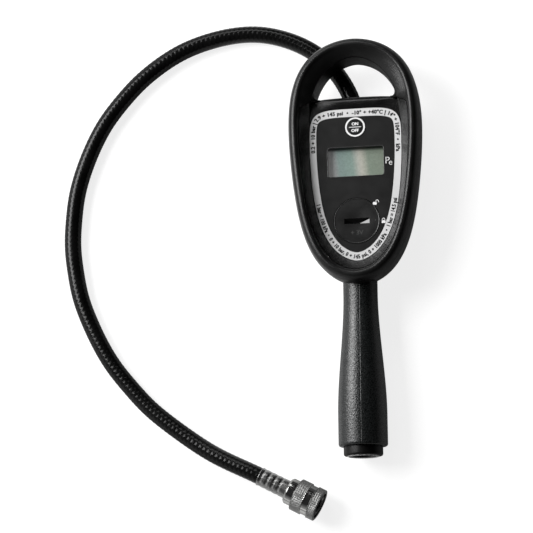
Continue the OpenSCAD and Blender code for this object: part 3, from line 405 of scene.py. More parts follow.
def roundAngles(sides):
    # 2 pi k / sides
    return np.arange(sides) * 2 * np.pi / sides


def turnedGrid(radius, along):
    # (radius cos a, radius sin a, height) for a grid of radii and the heights of its rows
    angle = roundAngles(radius.shape[1])
    return np.stack([radius * np.cos(angle), radius * np.sin(angle),
                     np.repeat(along[:, None], radius.shape[1], 1)], -1)


def turned(profile, sides):
    # rows of (radius, height) turned round the local z axis
    profile = np.asarray(profile, float)
    return turnedGrid(np.repeat(profile[:, :1], sides, 1), profile[:, 1])


def closeEnds(rings, middles):
    # a ring shrunk to its middle closes each end
    ends = np.repeat(np.asarray(middles, float)[:, None], rings.shape[1], 1)
    return np.concatenate([ends[:1], rings, ends[1:]])


def raised(outline, z):
    # a flat outline at one height, or at a height for each point
    return np.stack([outline[..., 0], outline[..., 1], z + 0 * outline[..., 0]], -1)


def outlineNormals(line):
    # outward normals of a closed outline that runs anticlockwise
    step = unit(np.roll(line, -1, 0) - np.roll(line, 1, 0))
    return np.stack([step[:, 1], -step[:, 0]], 1)


def chaikin(rows, times):
    # every side of a closed section is cut at a quarter and at three quarters
    for _ in range(times):
        ahead = np.roll(rows, -1, 1)
        rows = np.stack([rows * 0.75 + ahead * 0.25, rows * 0.25 + ahead * 0.75], 2)
        rows = rows.reshape(len(rows), -1, rows.shape[-1])
    return rows


softEdge = {"segments": 2, "limit": 30, "level": 0.5}  # angles in degrees


def softCopy(node, width, body, slot, material):
    # the node's own mesh, its doubles and its level faces merged, with its edges rounded
    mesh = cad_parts[node].data.copy()
    work = bmesh.new()
    work.from_mesh(mesh)
    bmesh.ops.remove_doubles(work, verts=work.verts, dist=mergeReach["cadCopy"])
    bmesh.ops.dissolve_limit(work, angle_limit=math.radians(softEdge["level"]),
                             verts=work.verts, edges=work.edges)
    work.to_mesh(mesh)
    work.free()
    mesh.shade_smooth()
    piece = newObject(node + "Soft", mesh)
    bevel = piece.modifiers.new("roundEdges", "BEVEL")
    bevel.width = width * mm
    bevel.segments = softEdge["segments"]
    bevel.limit_method = "ANGLE"
    bevel.angle_limit = math.radians(softEdge["limit"])
    bevel.harden_normals = True
    return addPiece(piece, body, slot, material, node)


# air hose: a swept tube with a fine crossed weave
hose = {  # its route is the one in the part's source
    "route": [(0, 60.5, 6.2), (0, 70, 6.1), (-1, 82, 5.7), (-4, 95.5, 5.4), (-10.2, 109.3, 5.4),
              (-20, 122.5, 5.4), (-33, 133, 5.4), (-48.5, 140.5, 5.4), (-65, 144.5, 5.4),
              (-82, 144.5, 5.4), (-98.5, 141.5, 5.4), (-114.5, 136, 5.4), (-129.5, 127.5, 5.4),
              (-143, 117, 5.4), (-154.5, 105, 5.4), (-165, 91.5, 5.4), (-173, 77, 5.4),
              (-179.5, 61, 5.4), (-184, 44.5, 5.4), (-186, 28, 5.4), (-186.5, 11, 5.4),
              (-184.5, -6, 5.4), (-181, -22.5, 5.4), (-175, -38.5, 5.4), (-167.5, -54, 5.4),
              (-158.5, -68.5, 5.4), (-148, -81.5, 5.4), (-136.5, -94, 5.4), (-123.5, -105, 5.7),
              (-110, -115, 6.4), (-95.5, -124.5, 7.8), (-80.5, -132.3, 9.4),
              (-65.1, -139.7, 10.45)],
    "startHeading": (0, 1, 0),
    "endHeading": (0.8894, -0.4571, 0),
    "diameter": 10.7,
    "rings": 1080,
    "sides": 64,
    "weavePitch": 3.1,  # way along the hose from one thread to the next
    "weaveTurns": 6,  # threads of each hand round the hose
    "weaveDepth": 0.15,
}


def smoothLine(points, first, last, count):
    # natural cubic through the points with given end headings, then even steps along it
    points = np.asarray(points, float)
    knots = lengthsAlong(points)
    gap = np.diff(knots)
    n = len(points)
    left = np.eye(n)
    right = np.zeros((n, 3))
    right[0], right[-1] = first, last
    for k in range(1, n - 1):
        left[k, k - 1:k + 2] = gap[k], 2 * (gap[k - 1] + gap[k]), gap[k - 1]
        right[k] = 3 * (gap[k] / gap[k - 1] * (points[k] - points[k - 1])
                        + gap[k - 1] / gap[k] * (points[k + 1] - points[k]))
    slope = np.linalg.solve(left, right)
    fine = np.linspace(0, knots[-1], count * 4)  # four fine steps for each even one
    k = np.clip(np.searchsorted(knots, fine, "right") - 1, 0, n - 2)
    t = ((fine - knots[k]) / gap[k])[:, None]
    h = gap[k][:, None]
    line = ((2 * t ** 3 - 3 * t ** 2 + 1) * points[k] + (t ** 3 - 2 * t ** 2 + t) * h * slope[k]
            + (3 * t ** 2 - 2 * t ** 3) * points[k + 1] + (t ** 3 - t ** 2) * h * slope[k + 1])
    along = lengthsAlong(line)
    even = np.linspace(0, along[-1], count)
    return np.stack([np.interp(even, along, line[:, a]) for a in range(3)], 1), even


def makeHose(h):
    # radius = half the diameter less the weave's depth where neither thread lies on top;
    # each ring stands across the line, on its level side and its rise
    line, along = smoothLine(h["route"], h["startHeading"], h["endHeading"], h["rings"])
    heading = unit(np.gradient(line, axis=0))
    side = unit(np.cross(heading, (0, 0, 1)))
    rise = np.cross(side, heading)
    angle = roundAngles(h["sides"])
    turn = h["weaveTurns"] * angle[None, :]
    run = 2 * np.pi * along[:, None] / h["weavePitch"]
    crossed = np.maximum(np.cos(run + turn), np.cos(run - turn))
    radius = h["diameter"] / 2 - h["weaveDepth"] * (1 - crossed) / 2
    points = (line[:, None] + side[:, None] * (radius * np.cos(angle))[..., None]
              + rise[:, None] * (radius * np.sin(angle))[..., None])
    return gridPiece("airHose", closeEnds(points, line[[0, -1]]), smoothAngle=80), line


airHose, hoseLine = makeHose(hose)
addPiece(airHose, "handset", "hose_rubber", "hoseRubber", "hose")
print("hose made")

# chuck: ferrule, body and knurled sleeve turned round one axis, which goes on from the hose
chuckAxis = {"start": hose["route"][-1], "x": (0, 0, -1), "y": (0.4571, 0.8894, 0),
             "z": hose["endHeading"]}


def alongChuck(points):
    # start + x, y and z along the axis's own directions
    axes = np.array([chuckAxis[a] for a in "xyz"], float)
    return np.asarray(chuckAxis["start"]) + points @ axes


ferrule = {
    "radius": 5.75, "length": 19.5, "crimps": 4, "crimpStart": 2.2, "crimpStep": 4.1,
    "crimpHalf": 1.5, "crimpDepth": 0.42, "dimples": 5, "dimpleShare": 0.75, "edge": 0.35,
    "sides": 120, "step": 0.15, "endGap": 0.05,
    "bead": (0.2, 0.5, 0.3),  # height, place and half width of the ring at its mouth
}


def makeFerrule(f):
    # radius = full radius + bead - depth * (1 - share + share * cos^2(dimples * angle / 2))
    # * cos^2 across each crimp; bead = height * e^(-(distance / half width)^2); round ends
    along = np.arange(0, f["length"] - f["endGap"], f["step"])
    middles = f["crimpStart"] + np.arange(f["crimps"]) * f["crimpStep"]
    off = np.abs(along[:, None] - middles[None, :]).min(1) / f["crimpHalf"]
    crimp = np.cos(np.clip(off, 0, 1) * np.pi / 2) ** 2
    wave = np.cos(f["dimples"] * roundAngles(f["sides"]) / 2) ** 2
    dimple = 1 - f["dimpleShare"] + f["dimpleShare"] * wave
    toEnd = np.clip(np.minimum(along, along[-1] - along) / f["edge"], 0, 1)
    end = f["edge"] * (1 - np.sqrt(1 - (1 - toEnd) ** 2))
    high, middle, half = f["bead"]
    bead = high * np.exp(-((along - middle) / half) ** 2)
    radius = (f["radius"] + bead - end)[:, None] - f["crimpDepth"] * crimp[:, None] * dimple
    points = closeEnds(turnedGrid(radius, along), ((0, 0, along[0]), (0, 0, along[-1])))
    return gridPiece("chuckFerrule", alongChuck(points))


chuckFerrule = makeFerrule(ferrule)
addPiece(chuckFerrule, "handset", "fitting_nickel", "ferruleSteel", "hose_ferrule")

chuckBand = {
    "start": 19.5, "coneLength": 1.1, "coneRadius": 7.2, "radius": 8.25, "shoulder": 27.3,
    "barrelRadius": 7.2, "barrelEnd": 41.0, "bore": 6.25, "boreStart": 33.05,
    "pinBore": 4.4, "pinBoreStart": 29.4, "sides": 128, "edge": 0.3,
}


def makeChuckBody(c):
    # cone, band and barrel outside; the mouth's bore inside, back to the pin's bore
    rows = [(0, c["start"]), (c["coneRadius"], c["start"]),
            (c["radius"], c["start"] + c["coneLength"]), (c["radius"], c["shoulder"]),
            (c["barrelRadius"], c["shoulder"]), (c["barrelRadius"], c["barrelEnd"]),
            (c["bore"], c["barrelEnd"]), (c["bore"], c["boreStart"]),
            (c["pinBore"], c["boreStart"]), (c["pinBore"], c["pinBoreStart"]),
            (0, c["pinBoreStart"])]
    return gridPiece("chuckBody", alongChuck(turned(roundCorners(rows, c["edge"]), c["sides"])))


chuckBody = makeChuckBody(chuckBand)
addPiece(chuckBody, "handset", "fitting_nickel", "nickel", "chuck_body")

knurledSleeve = {
    "start": 25.3, "end": 41.7, "radius": 10.25, "rearKnurl": 7.2, "frontKnurl": 5.0,
    "groove": 0.75, "edge": 0.7, "rearBore": 8.3, "springSeat": 31.4, "midBore": 7.25,
    "clipStart": 39.25, "frontBore": 8.1, "pitch": 1.4, "knurlDepth": 0.32, "sides": 480,
    "step": 0.13,
    "grooveLead": 0.15, "knurlLead": 0.5, "leadWidth": 0.3,
    "rearRim": (0.25, 0.35), "frontRim": (0.4, 0.4),  # plain rim, and width of the knurl's rise
    "zoneDepth": 0.6, "zoneEdge": 0.4, "zoneShift": 0.1,  # where the duller finish, painted darker as shade in the knurl, ends
}


def makeSleeve(s):
    # outside radius = plain profile less the depth of a diamond knurl; the bore closes it
    turns = round(2 * np.pi * s["radius"] / s["pitch"])
    along = np.arange(s["start"], s["end"] + s["step"] / 2, s["step"])
    fromStart, toEnd = along - s["start"], s["end"] - along

    def between(lead):  # 1 in the groove, with its edges led outwards
        return (ease((fromStart - s["rearKnurl"] + lead) / s["leadWidth"])
                * ease((toEnd - s["frontKnurl"] + lead) / s["leadWidth"]))

    def risen(distance, rim):  # 0 on the plain rim, 1 past the rise
        return ease((distance - rim[0]) / rim[1])

    def wedge(v):  # 0 in the valley, 1 on the crest
        return 1 - 2 * np.abs(v - np.round(v))

    fromEdge = 1 - np.clip(np.minimum(fromStart, toEnd) / s["edge"], 0, 1)
    rise = np.sqrt(np.clip(1 - fromEdge ** 2, 0, 1))
    plain = s["radius"] - s["edge"] * (1 - rise) - s["groove"] * between(s["grooveLead"])
    knurled = (risen(fromStart, s["rearRim"]) * risen(toEnd, s["frontRim"])
               * (1 - between(s["knurlLead"])))
    across = turns * roundAngles(s["sides"])[None, :] / (2 * np.pi)
    run = along[:, None] / s["pitch"]
    diamond = np.minimum(wedge(across + run), wedge(across - run))
    radius = plain[:, None] - s["knurlDepth"] * knurled[:, None] * (1 - diamond)
    bore = turned([(s["frontBore"], s["end"]), (s["frontBore"], s["clipStart"]),
                   (s["midBore"], s["clipStart"]), (s["midBore"], s["springSeat"]),
                   (s["rearBore"], s["springSeat"]), (s["rearBore"], s["start"])], s["sides"])
    return gridPiece("knurledSleeve", alongChuck(np.concatenate([turnedGrid(radius, along), bore])),
                     closeRows=True, smoothAngle=28)


sleevePiece = makeSleeve(knurledSleeve)
addPiece(sleevePiece, "locking_sleeve", "fitting_nickel", "nickel", "chuck_sleeve")


def onKnurl(places):
    # the rear band without its rims, and all of the front band up to the sleeve's end
    s = knurledSleeve
    fromJoint = places - chuckAxis["start"]
    along = fromJoint @ np.array(chuckAxis["z"])
    radius = np.linalg.norm(fromJoint - along[:, None] * chuckAxis["z"], axis=1)
    fromMiddle = np.abs(along - s["start"] - s["rearKnurl"] / 2 + s["zoneShift"])
    onRear = fromMiddle < s["rearKnurl"] / 2 - s["zoneEdge"]
    onFront = s["end"] - along < s["frontKnurl"] - s["zoneEdge"]
    return (radius > s["radius"] - s["zoneDepth"]) & onRear | (radius > s["frontBore"]) & onFront


# the knurl takes a rougher nickel painted darker, as shade in its valleys
addZone(sleevePiece, "knurlNickelShaded", onKnurl)
print("chuck made")

# gauge head: ovals of the bumper and of the opening, heights of its layers
head = {
    "width": 82.7, "length": 154.7, "neckY": -25.0,
    "sideBand": 12.3, "loopBand": 11.9, "chinBand": 14.1,
    "outerShares": (0.159, 0.312, 0, 1.03),  # a, b and c of the swell, and the power
    "innerShares": (0.094, 0.34, 0.039, 1.146),
    "backZ": 12.8, "splitZ": 15.0, "faceZ": 25.5, "wideZ": 28.7, "loopFrontZ": 31.0,
    "ridgeZ": 36.8, "ridgeIn": 5.3, "lipRise": 0.3, "partShare": 0.27, "seam": 0.15,
    "bridgeY": 118.6, "bridgeBow": 2.1, "blend": 9.0, "stations": 480,
}


def oval(angle, width, low, high, shares):
    # x = half width * cos * |cos|^(power - 1) * swell / peak, swell = 1 + a s + b s^2 + c s^3,
    # s = sin(angle); y runs from low to high with s
    def reach(a):
        s = np.sin(a)
        swell = 1 + shares[0] * s + shares[1] * s ** 2 + shares[2] * s ** 3
        return np.sign(np.cos(a)) * np.abs(np.cos(a)) ** shares[3] * swell

    peak = reach(np.radians(np.arange(-90, 91))).max()
    return np.stack([width / 2 * reach(angle) / peak,
                     (high + low) / 2 + (high - low) / 2 * np.sin(angle)], 1)


stationAngle = (np.arange(head["stations"]) / head["stations"] * 2 - 0.5) * np.pi
outerLine = oval(stationAngle, head["width"], 0, head["length"], head["outerShares"])
outerNormal = outlineNormals(outerLine)
ridgeLine = outerLine - outerNormal * head["ridgeIn"]
innerWidth = head["width"] - 2 * head["sideBand"]
innerLow, innerHigh = head["chinBand"], head["length"] - head["loopBand"]
innerLine = oval(stationAngle, innerWidth, innerLow, innerHigh, head["innerShares"])
joinY = head["bridgeY"] - head["bridgeBow"]
sideBlend = ease((innerLine[:, 1] - joinY + head["blend"]) / head["blend"])
lipZ = mix(head["faceZ"] + head["lipRise"], head["loopFrontZ"], sideBlend)
partShare = mix(head["partShare"], 1, sideBlend)
partLine = mix(ridgeLine, innerLine, partShare[:, None])
partZ = mix(head["ridgeZ"], lipZ, partShare)


def placeHead(xy, z):
    # head measures, from the neck, to the shared frame
    return raised(xy, z) + (0, head["neckY"], 0)


bumper = {
    "lowSteps": ((1.7, 0.0), (0.6, 1.3), (0.15, 8.0)),  # inset and rise above the back edge
    "ridgeSteps": 9, "edge": 0.5, "rounds": 2, "crestIn": 4.5,
    "crest": ((0.5, 0.06), (1.0, 0.22), (1.5, 0.52), (1.9, 0.95)),  # inset and drop beyond it
    "underCrest": (0.157, 0.3),  # share of the slope where the crest ends, rise below it
    "partDepth": 3,  # depth of the row that keeps the part line's wall upright
}


def makeBumper(b):
    # section: back edge, wall, quarter ellipse to the ridge, slope to the part line, wall down
    def inset(d, z):
        return placeHead(outerLine - outerNormal * d, z)

    def slope(share, rise=0.0):
        return placeHead(mix(ridgeLine, innerLine, share[:, None]),
                         mix(head["ridgeZ"], lipZ, share) + rise)

    rows = [placeHead(partLine, head["backZ"])] * 2
    rows += [inset(d, head["backZ"] + rise) for d, rise in b["lowSteps"]]
    for a in np.linspace(0, np.pi / 2, b["ridgeSteps"]):
        rows.append(inset(b["crestIn"] * (1 - np.cos(a)),
                          mix(head["wideZ"], head["ridgeZ"], np.sin(a))))
    rows += [inset(b["crestIn"] + d, head["ridgeZ"] - drop) for d, drop in b["crest"]]
    under, rise = b["underCrest"]
    rows.append(slope(mix(under, partShare, 0.5), rise))
    edgeShare = partShare - b["edge"] / np.linalg.norm(innerLine - ridgeLine, axis=1)
    rows.append(slope(edgeShare))
    rows += [placeHead(partLine, partZ - b["edge"] / 2),
             placeHead(partLine, partZ - b["partDepth"])]
    return gridPiece("bumperRing", chaikin(np.stack(rows, 1), b["rounds"]), closeRows=True)


addPiece(makeBumper(bumper), "handset", "bumper_rubber", "bumperRubber", "bumper")
print("bumper made")

hardCase = {
    "bowShares": (0.93, 0.85, 0.65, 0.4, 0.2, 0, -0.2, -0.4, -0.65, -0.85, -0.93),
    "bowDrops": (0.62, 0.34, 0.15, 0.05, 0.01, 0, 0.01, 0.05, 0.15, 0.34, 0.62),
    "edge": 1.3, "wall": 2.2, "shelfZ": 21.5, "panelZ": 23.5, "shelfWidth": 2.5,
    "topAngles": (2, 178, 120),  # of the panel's top: first, last and how many
    "panelTop": 111.1, "squareShare": 0.425, "wideShare": 0.12, "stations": 720,
    "middleY": 62.0, "rounds": 2,
    "bridgeRoll": 0.9, "rollReach": 14, "rollPower": 0.7, "rollSteps": 13, "bridgeStart": 0.3,
    "lipShare": 0.06, "lipStep": 0.1, "panelGap": 0.15, "panelEdge": 0.12,
    "wallEdge": (0.02, 0.05, 0.3),  # inset and drop of the wall's top, drop of the row below it
}


def sortByAngle(line, values):
    # angles of an outline's points round the head's middle, in order, and their values
    d = line - (0, hardCase["middleY"])
    at = np.arctan2(d[:, 1], d[:, 0])
    order = np.argsort(at)
    return at[order], values[order]


def polarRadius(line, angles):
    # distance of a closed outline from the head's middle, for each angle round it
    distance = np.hypot(*(line - (0, hardCase["middleY"])).T)
    return np.interp(angles, *sortByAngle(line, distance), period=2 * np.pi)


def bridgeLine(reach):
    # the bridge's bowed edge from right to left: its height less a drop at each share of reach
    return np.stack([reach * np.array(hardCase["bowShares"]),
                     head["bridgeY"] - head["bridgeBow"] * np.array(hardCase["bowDrops"])], 1)


def panelOutline():
    # the opening's oval below its widest place, a squarer top above it
    share = hardCase["wideShare"]
    middle = mix(innerLow, innerHigh, (1 + share) / 2)
    half = oval(np.arcsin(np.array([share])), innerWidth, innerLow, innerHigh,
                head["innerShares"])[0, 0]
    a = np.radians(np.linspace(*hardCase["topAngles"]))
    power = hardCase["squareShare"]
    cap = np.stack([half * np.sign(np.cos(a)) * np.abs(np.cos(a)) ** power,
                    middle + (hardCase["panelTop"] - middle) * np.sin(a) ** power], 1)
    side = innerLine[innerLine[:, 1] < middle]
    return np.concatenate([side[side[:, 0] >= 0], cap, side[side[:, 0] < 0]])


def makeCase(c):
    # profile at each angle: outer wall, strip beside the bumper, lip, floor, panel seat, inside
    side = partLine - outlineNormals(partLine) * head["seam"]
    half = head["stations"] // 2
    right = side[:half][side[:half, 1] < joinY]
    left = side[half:][side[half:, 1] < joinY]
    reach = right[-1, 0]
    outline = chaikin(np.concatenate([right, bridgeLine(reach), left])[None], c["rounds"])[0]
    angles = np.linspace(-np.pi, np.pi, c["stations"], endpoint=False)
    outer = polarRadius(outline, angles)
    ray = np.stack([np.cos(angles), np.sin(angles)], 1)
    onBridge = (outer * ray[:, 1] + c["middleY"]) > joinY - c["bridgeStart"]
    rollHere = (c["bridgeRoll"] * onBridge
                * ease((reach - np.abs(outer * ray[:, 0])) / c["rollReach"]))
    opening = polarRadius(innerLine, angles)
    seat = polarRadius(panelOutline(), angles)
    inset, drop, low = c["wallEdge"]
    stripZ = np.interp(angles, *sortByAngle(partLine, partZ))
    topZ = np.where(onBridge, head["faceZ"] - c["edge"], stripZ)
    lip = np.minimum(opening, outer - np.where(onBridge, c["edge"], drop))
    lipHigh = np.where(onBridge, head["faceZ"], head["faceZ"] + head["lipRise"])
    near, far = c["lipShare"], 1 - c["lipShare"]
    gapStart = seat + c["panelGap"]
    profile = [(outer, head["splitZ"]), (outer, topZ - low), (outer - inset, topZ - drop),
               (mix(outer, lip, near), mix(topZ, lipHigh, near)),
               (mix(outer, lip, far), mix(topZ, lipHigh, np.where(onBridge, 1, far))),
               (lip, lipHigh - drop), (lip - c["lipStep"], head["faceZ"])]
    for share in np.linspace(0, 1, c["rollSteps"])[1:-1]:
        roll = rollHere * np.sin(np.pi * share ** c["rollPower"])
        profile.append((mix(lip - c["lipStep"], gapStart, share), head["faceZ"] + roll))
    profile += [(gapStart, head["faceZ"]), (seat, head["faceZ"] - c["panelEdge"]),
                (seat, c["panelZ"]), (seat - c["shelfWidth"], c["panelZ"]),
                (seat - c["shelfWidth"], c["shelfZ"]), (outer - c["wall"], c["shelfZ"]),
                (outer - c["wall"], head["splitZ"])]
    rows = [placeHead(r[:, None] * ray + (0, c["middleY"]), z) for r, z in profile]
    return gridPiece("frontShell", np.stack(rows, 1), closeRows=True, smoothAngle=25)


addPiece(makeCase(hardCase), "handset", "case_plastic", "casePlastic", "front_case")

loopCorner = {
    "reach": 4.2, "back": 2.4, "low": 15.3, "lipDrop": 1.0, "bridgeRise": 0.25, "steps": 25,
    "search": 4,  # how far below the bridge's ends the wall is searched
    "front": ((0.04, 0.8), (0.25, 0.25), (0.8, 0.0)),  # way out from the loop, drop from the top
    "backDrop": 0.5,
}


def makeLoopCorner(name, side, c):
    # fillet in the corner of the loop: a quadratic curve in plan from the loop's wall to the
    # bridge, its top falls from the loop's lip to the bridge; closed at the wall's end only
    half = head["stations"] // 2
    wall = innerLine[:half][innerLine[:half, 1] > joinY - c["search"]]
    bowX, bowY = bridgeLine(wall[0, 0])[::-1].T
    gap = wall[:, 1] - np.interp(wall[:, 0], bowX, bowY)
    corner = wall[np.abs(gap).argmin()]
    start = wall[np.abs(gap - c["reach"]).argmin()]
    stopX = corner[0] - c["reach"]
    stop = np.array([stopX, np.interp(stopX, bowX, bowY)])
    t = np.linspace(0, 1, c["steps"])
    line = quadratic(start, corner, stop, t[:, None])
    out = unit(corner - (start + stop) / 2)
    top = mix(head["loopFrontZ"] - c["lipDrop"], head["faceZ"] + c["bridgeRise"], ease(t))
    section = [(c["front"][0][0], c["low"])] + [(away, top - drop) for away, drop in c["front"]]
    section += [(c["back"], top - c["backDrop"]), (c["back"], c["low"])]
    points = np.stack([placeHead((line + out * away) * (side, 1), z) for away, z in section], 1)
    wallEnd = np.repeat(points[:1].mean(1, keepdims=True), len(section), 1)
    return gridPiece(name, np.concatenate([wallEnd, points]), smoothAngle=50)


for name, side in (("loopCornerRight", 1), ("loopCornerLeft", -1)):
    addPiece(makeLoopCorner(name, side, loopCorner), "handset", "bumper_rubber", "bumperRubber")
print("case made")

# grip: a turned swell with the lever's slot in its back, and the collar below it
grip = {
    "axisZ": 15.05, "neckRadius": 10.62, "radius": 15.05, "length": 98.9, "swellStart": 5.5,
    "swellLength": 74.0, "endRound": 1.4, "top": 12.6, "slotHalf": 6.5, "slotEnd": 50.5,
    "roofTop": 8.0, "roofTip": 10.2, "slotRings": 70, "plainRings": 40, "endRings": 7,
    "arcSteps": 120, "roofSteps": 12,
    "seamAngle": 1.52, "seamDepth": 0.09, "seamHalf": 0.22,
    "seamSteps": (0.478, 0.506, 25),  # shares of the arc with finer steps, and how many
}


def makeGrip(g):
    # each ring: an arc from one side of the slot over the front to the other, the slot's
    # walls and its roof; past the slot's end the roof is the circle itself
    turn = np.linspace(0, np.pi / 2, g["endRings"])
    along = np.concatenate([np.linspace(-g["top"], g["slotEnd"], g["slotRings"]),
                            np.linspace(g["slotEnd"], g["length"] - g["endRound"], g["plainRings"]),
                            g["length"] - g["endRound"] * (1 - np.sin(turn))])
    radius = mix(g["neckRadius"], g["radius"], ease((along - g["swellStart"]) / g["swellLength"]))
    radius[-len(turn):] -= g["endRound"] * (1 - np.cos(turn))
    isOpen = (np.arange(len(along)) < g["slotRings"])[:, None]
    slotX = np.linspace(g["slotHalf"], -g["slotHalf"], g["roofSteps"])[None, :]
    halfAngle = np.arcsin(g["slotHalf"] / radius)[:, None]
    shares = np.concatenate([np.linspace(0, 1, g["arcSteps"]), np.linspace(*g["seamSteps"])])
    arc = mix(-np.pi / 2 + halfAngle, 3 * np.pi / 2 - halfAngle, np.sort(shares)[None, :])
    fromSeam = (arc - g["seamAngle"]) * radius[:, None]
    seam = g["seamDepth"] * np.exp(-(fromSeam / g["seamHalf"]) ** 2)
    arcX, arcZ = (radius[:, None] - seam) * np.cos(arc), (radius[:, None] - seam) * np.sin(arc)
    circleZ = -np.sqrt(radius[:, None] ** 2 - slotX ** 2)
    roof = mix(g["roofTop"], g["roofTip"], (along[:, None] + g["top"]) / (g["slotEnd"] + g["top"]))
    roofZ = np.where(isOpen, roof - g["axisZ"] + 0 * slotX, circleZ)
    x = np.concatenate([arcX, -slotX + 0 * roofZ], 1)
    z = np.concatenate([arcZ, roofZ], 1) + g["axisZ"]
    y = np.repeat(-along[:, None], x.shape[1], 1) + head["neckY"]
    middles = [(0, y[end, 0], g["axisZ"]) for end in (0, -1)]
    return gridPiece("gripHandle", closeEnds(np.stack([x, y, z], -1), middles), smoothAngle=30)


def alongGrip(points):
    # local z runs down the grip from the neck
    return np.stack([points[..., 0], head["neckY"] - points[..., 2],
                     points[..., 1] + grip["axisZ"]], -1)


collar = {
    "radius": 12.0, "length": 5.8, "round": 1.0, "roundShare": 0.3, "mouth": 9.05,
    "mouthEdge": 0.2, "overlap": 1, "edge": 0.3, "sides": 128,
    # the rim values place the painted highlight ring in the mouth
    "rimRadius": 9.3, "rimPlace": 104.6, "rimHalf": 0.6, "rimSteps": 12, "rimSides": 96,
}


def makeCollar(c):
    # ring with a rounded outer edge and the fitting's bore through it
    start, end = grip["length"] - c["overlap"], grip["length"] + c["length"]
    bevel = c["round"] * c["roundShare"]
    rows = [(c["mouth"], start), (c["radius"], start), (c["radius"], end - c["round"]),
            (c["radius"] - bevel, end - bevel), (c["radius"] - c["round"], end),
            (c["mouth"] + c["mouthEdge"], end), (c["mouth"], end - c["mouthEdge"])]
    return gridPiece("inletCollar", alongGrip(turned(roundCorners(rows, c["edge"]), c["sides"])),
                     closeRows=True)


def makeMouthHighlightRing(c):
    # a round white ring in the inlet's mouth, a painted highlight on the mouth's edge
    circle = c["rimHalf"] * turned([(1, 0)], c["rimSteps"])[0, :, :2]
    rim = turned(circle + (c["rimRadius"], c["rimPlace"]), c["rimSides"])
    return gridPiece("mouthHighlightRing", alongGrip(rim), closeRows=True)


addPiece(makeGrip(grip), "handset", "grip_plastic", "gripPlastic", "handle_grip")
# the collar's finish is painted darker, as shade on it
addPiece(makeCollar(collar), "handset", "grip_plastic", "collarShadedPlastic")
# a white ring as a painted highlight round the inlet's mouth
addPiece(makeMouthHighlightRing(collar), "handset", "fitting_nickel", "printWhite")
print("grip made")

# face: button, battery cap, display and print
face = {
    "panelZ": 25.45, "ringZ": 25.6,
    "window": (0.0, 52.0, 35.1, 18.7, 1.7),  # middle, width, height, corner
    "button": (0.0, 73.95), "cap": (0.0, 14.4), "printThick": 0.03,
}
quarters = ((1, 1), (-1, 1), (-1, -1), (1, -1))


def roundBox(width, height, corner, steps=6):
    # outline of a box with round corners, anticlockwise from its right side
    turn = np.linspace(0, np.pi / 2, steps)
    parts = []
    for quarter, (sx, sy) in enumerate(quarters):
        a = turn + quarter * np.pi / 2
        parts.append(np.stack([sx * (width / 2 - corner) + corner * np.cos(a),
                               sy * (height / 2 - corner) + corner * np.sin(a)], 1))
    return np.concatenate(parts)


def flatPiece(name, outlines, z, thick=face["printThick"]):
    # thin plates: each outline is filled by a fan and given a wall
    points, faces, count = [], [], 0
    for line in outlines:
        n = len(line)
        points += [raised(line, z + thick), raised(line, z)]
        k = np.arange(n)
        ahead = (k + 1) % n
        faces += [tuple(count + k), tuple(count + n + k[::-1])]
        faces += (count + np.stack([k, k + n, ahead + n, ahead], 1)).tolist()
        count += 2 * n
    return meshPiece(name, np.concatenate(points), faces)


windowTrim = {
    "sink": 0.12, "radius": 0.3, "out": 0.1, "foot": 0.3, "steps": 9,
    "fillZ": 23.52, "fillHeight": 1.9, "fillOver": 0.1, "fillSteps": 6,
}


def makeWindowRim(w):
    # a half circle that stands on the panel, closed by a flat foot, carried round the window; its
    # paler finish is a painted highlight on the window's edge
    line = roundBox(*face["window"][2:])
    normal = outlineNormals(line)
    low, out, radius = face["panelZ"] - w["sink"], w["out"], w["radius"]
    profile = [(out + radius * np.cos(t), low + radius * np.sin(t))
               for t in np.linspace(0, np.pi, w["steps"])]
    profile += [(out - radius, low - w["foot"]), (out + radius, low - w["foot"])]
    rows = [raised(line + normal * away + face["window"][:2], z) for away, z in profile]
    return gridPiece("windowRim", np.stack(rows, 1), closeRows=True)


def makeWindowCorners(w):
    # what a square opening has outside round corners
    middle, size, corner = np.split(np.array(face["window"]), (2, 4))
    tip, over = size / 2, w["fillOver"]
    turn = np.linspace(0, np.pi / 2, w["fillSteps"])
    arc = tip - corner + corner * np.stack([np.cos(turn), np.sin(turn)], 1)
    line = np.concatenate([[tip + over], [tip + (-corner[0], over)], arc[::-1],
                           [tip + (over, -corner[0])]])
    return flatPiece("windowCorners", [line * quarter + middle for quarter in quarters],
                     w["fillZ"], w["fillHeight"])


# the rim is painted paler, as a highlight along the window's edge
addPiece(makeWindowRim(windowTrim), "handset", "panel_plastic", "rimPaintedHighlight")
addPiece(makeWindowCorners(windowTrim), "handset", "panel_plastic", "panelPlastic")

pushButton = {
    "radius": 6.35, "top": 25.8, "edge": 0.35, "flangeRadius": 7.6, "flange": (22.5, 23.5),
    "stemRadius": 2.0, "stemEnd": 20.6, "ringOut": 6.2, "ringIn": 5.2, "barWidth": 7.6,
    "barHeight": 0.42, "barCorner": 0.1, "letterHeight": 1.95, "letterRise": 1.15,
    "letterBold": 0.025, "sides": 96,
}


def makeButton(b):
    # turned cap with a soft top edge, its flange and its stem
    rows = [(0, b["top"]), (b["radius"], b["top"]), (b["radius"], b["flange"][1]),
            (b["flangeRadius"], b["flange"][1]), (b["flangeRadius"], b["flange"][0]),
            (b["stemRadius"], b["flange"][0]), (b["stemRadius"], b["stemEnd"]),
            (0, b["stemEnd"])]
    points = turned(roundCorners(rows, b["edge"]), b["sides"])
    return gridPiece("pushButton", points + (*face["button"], 0))


addPiece(makeButton(pushButton), "power_button", "panel_plastic", "buttonPlastic", "button_cap")


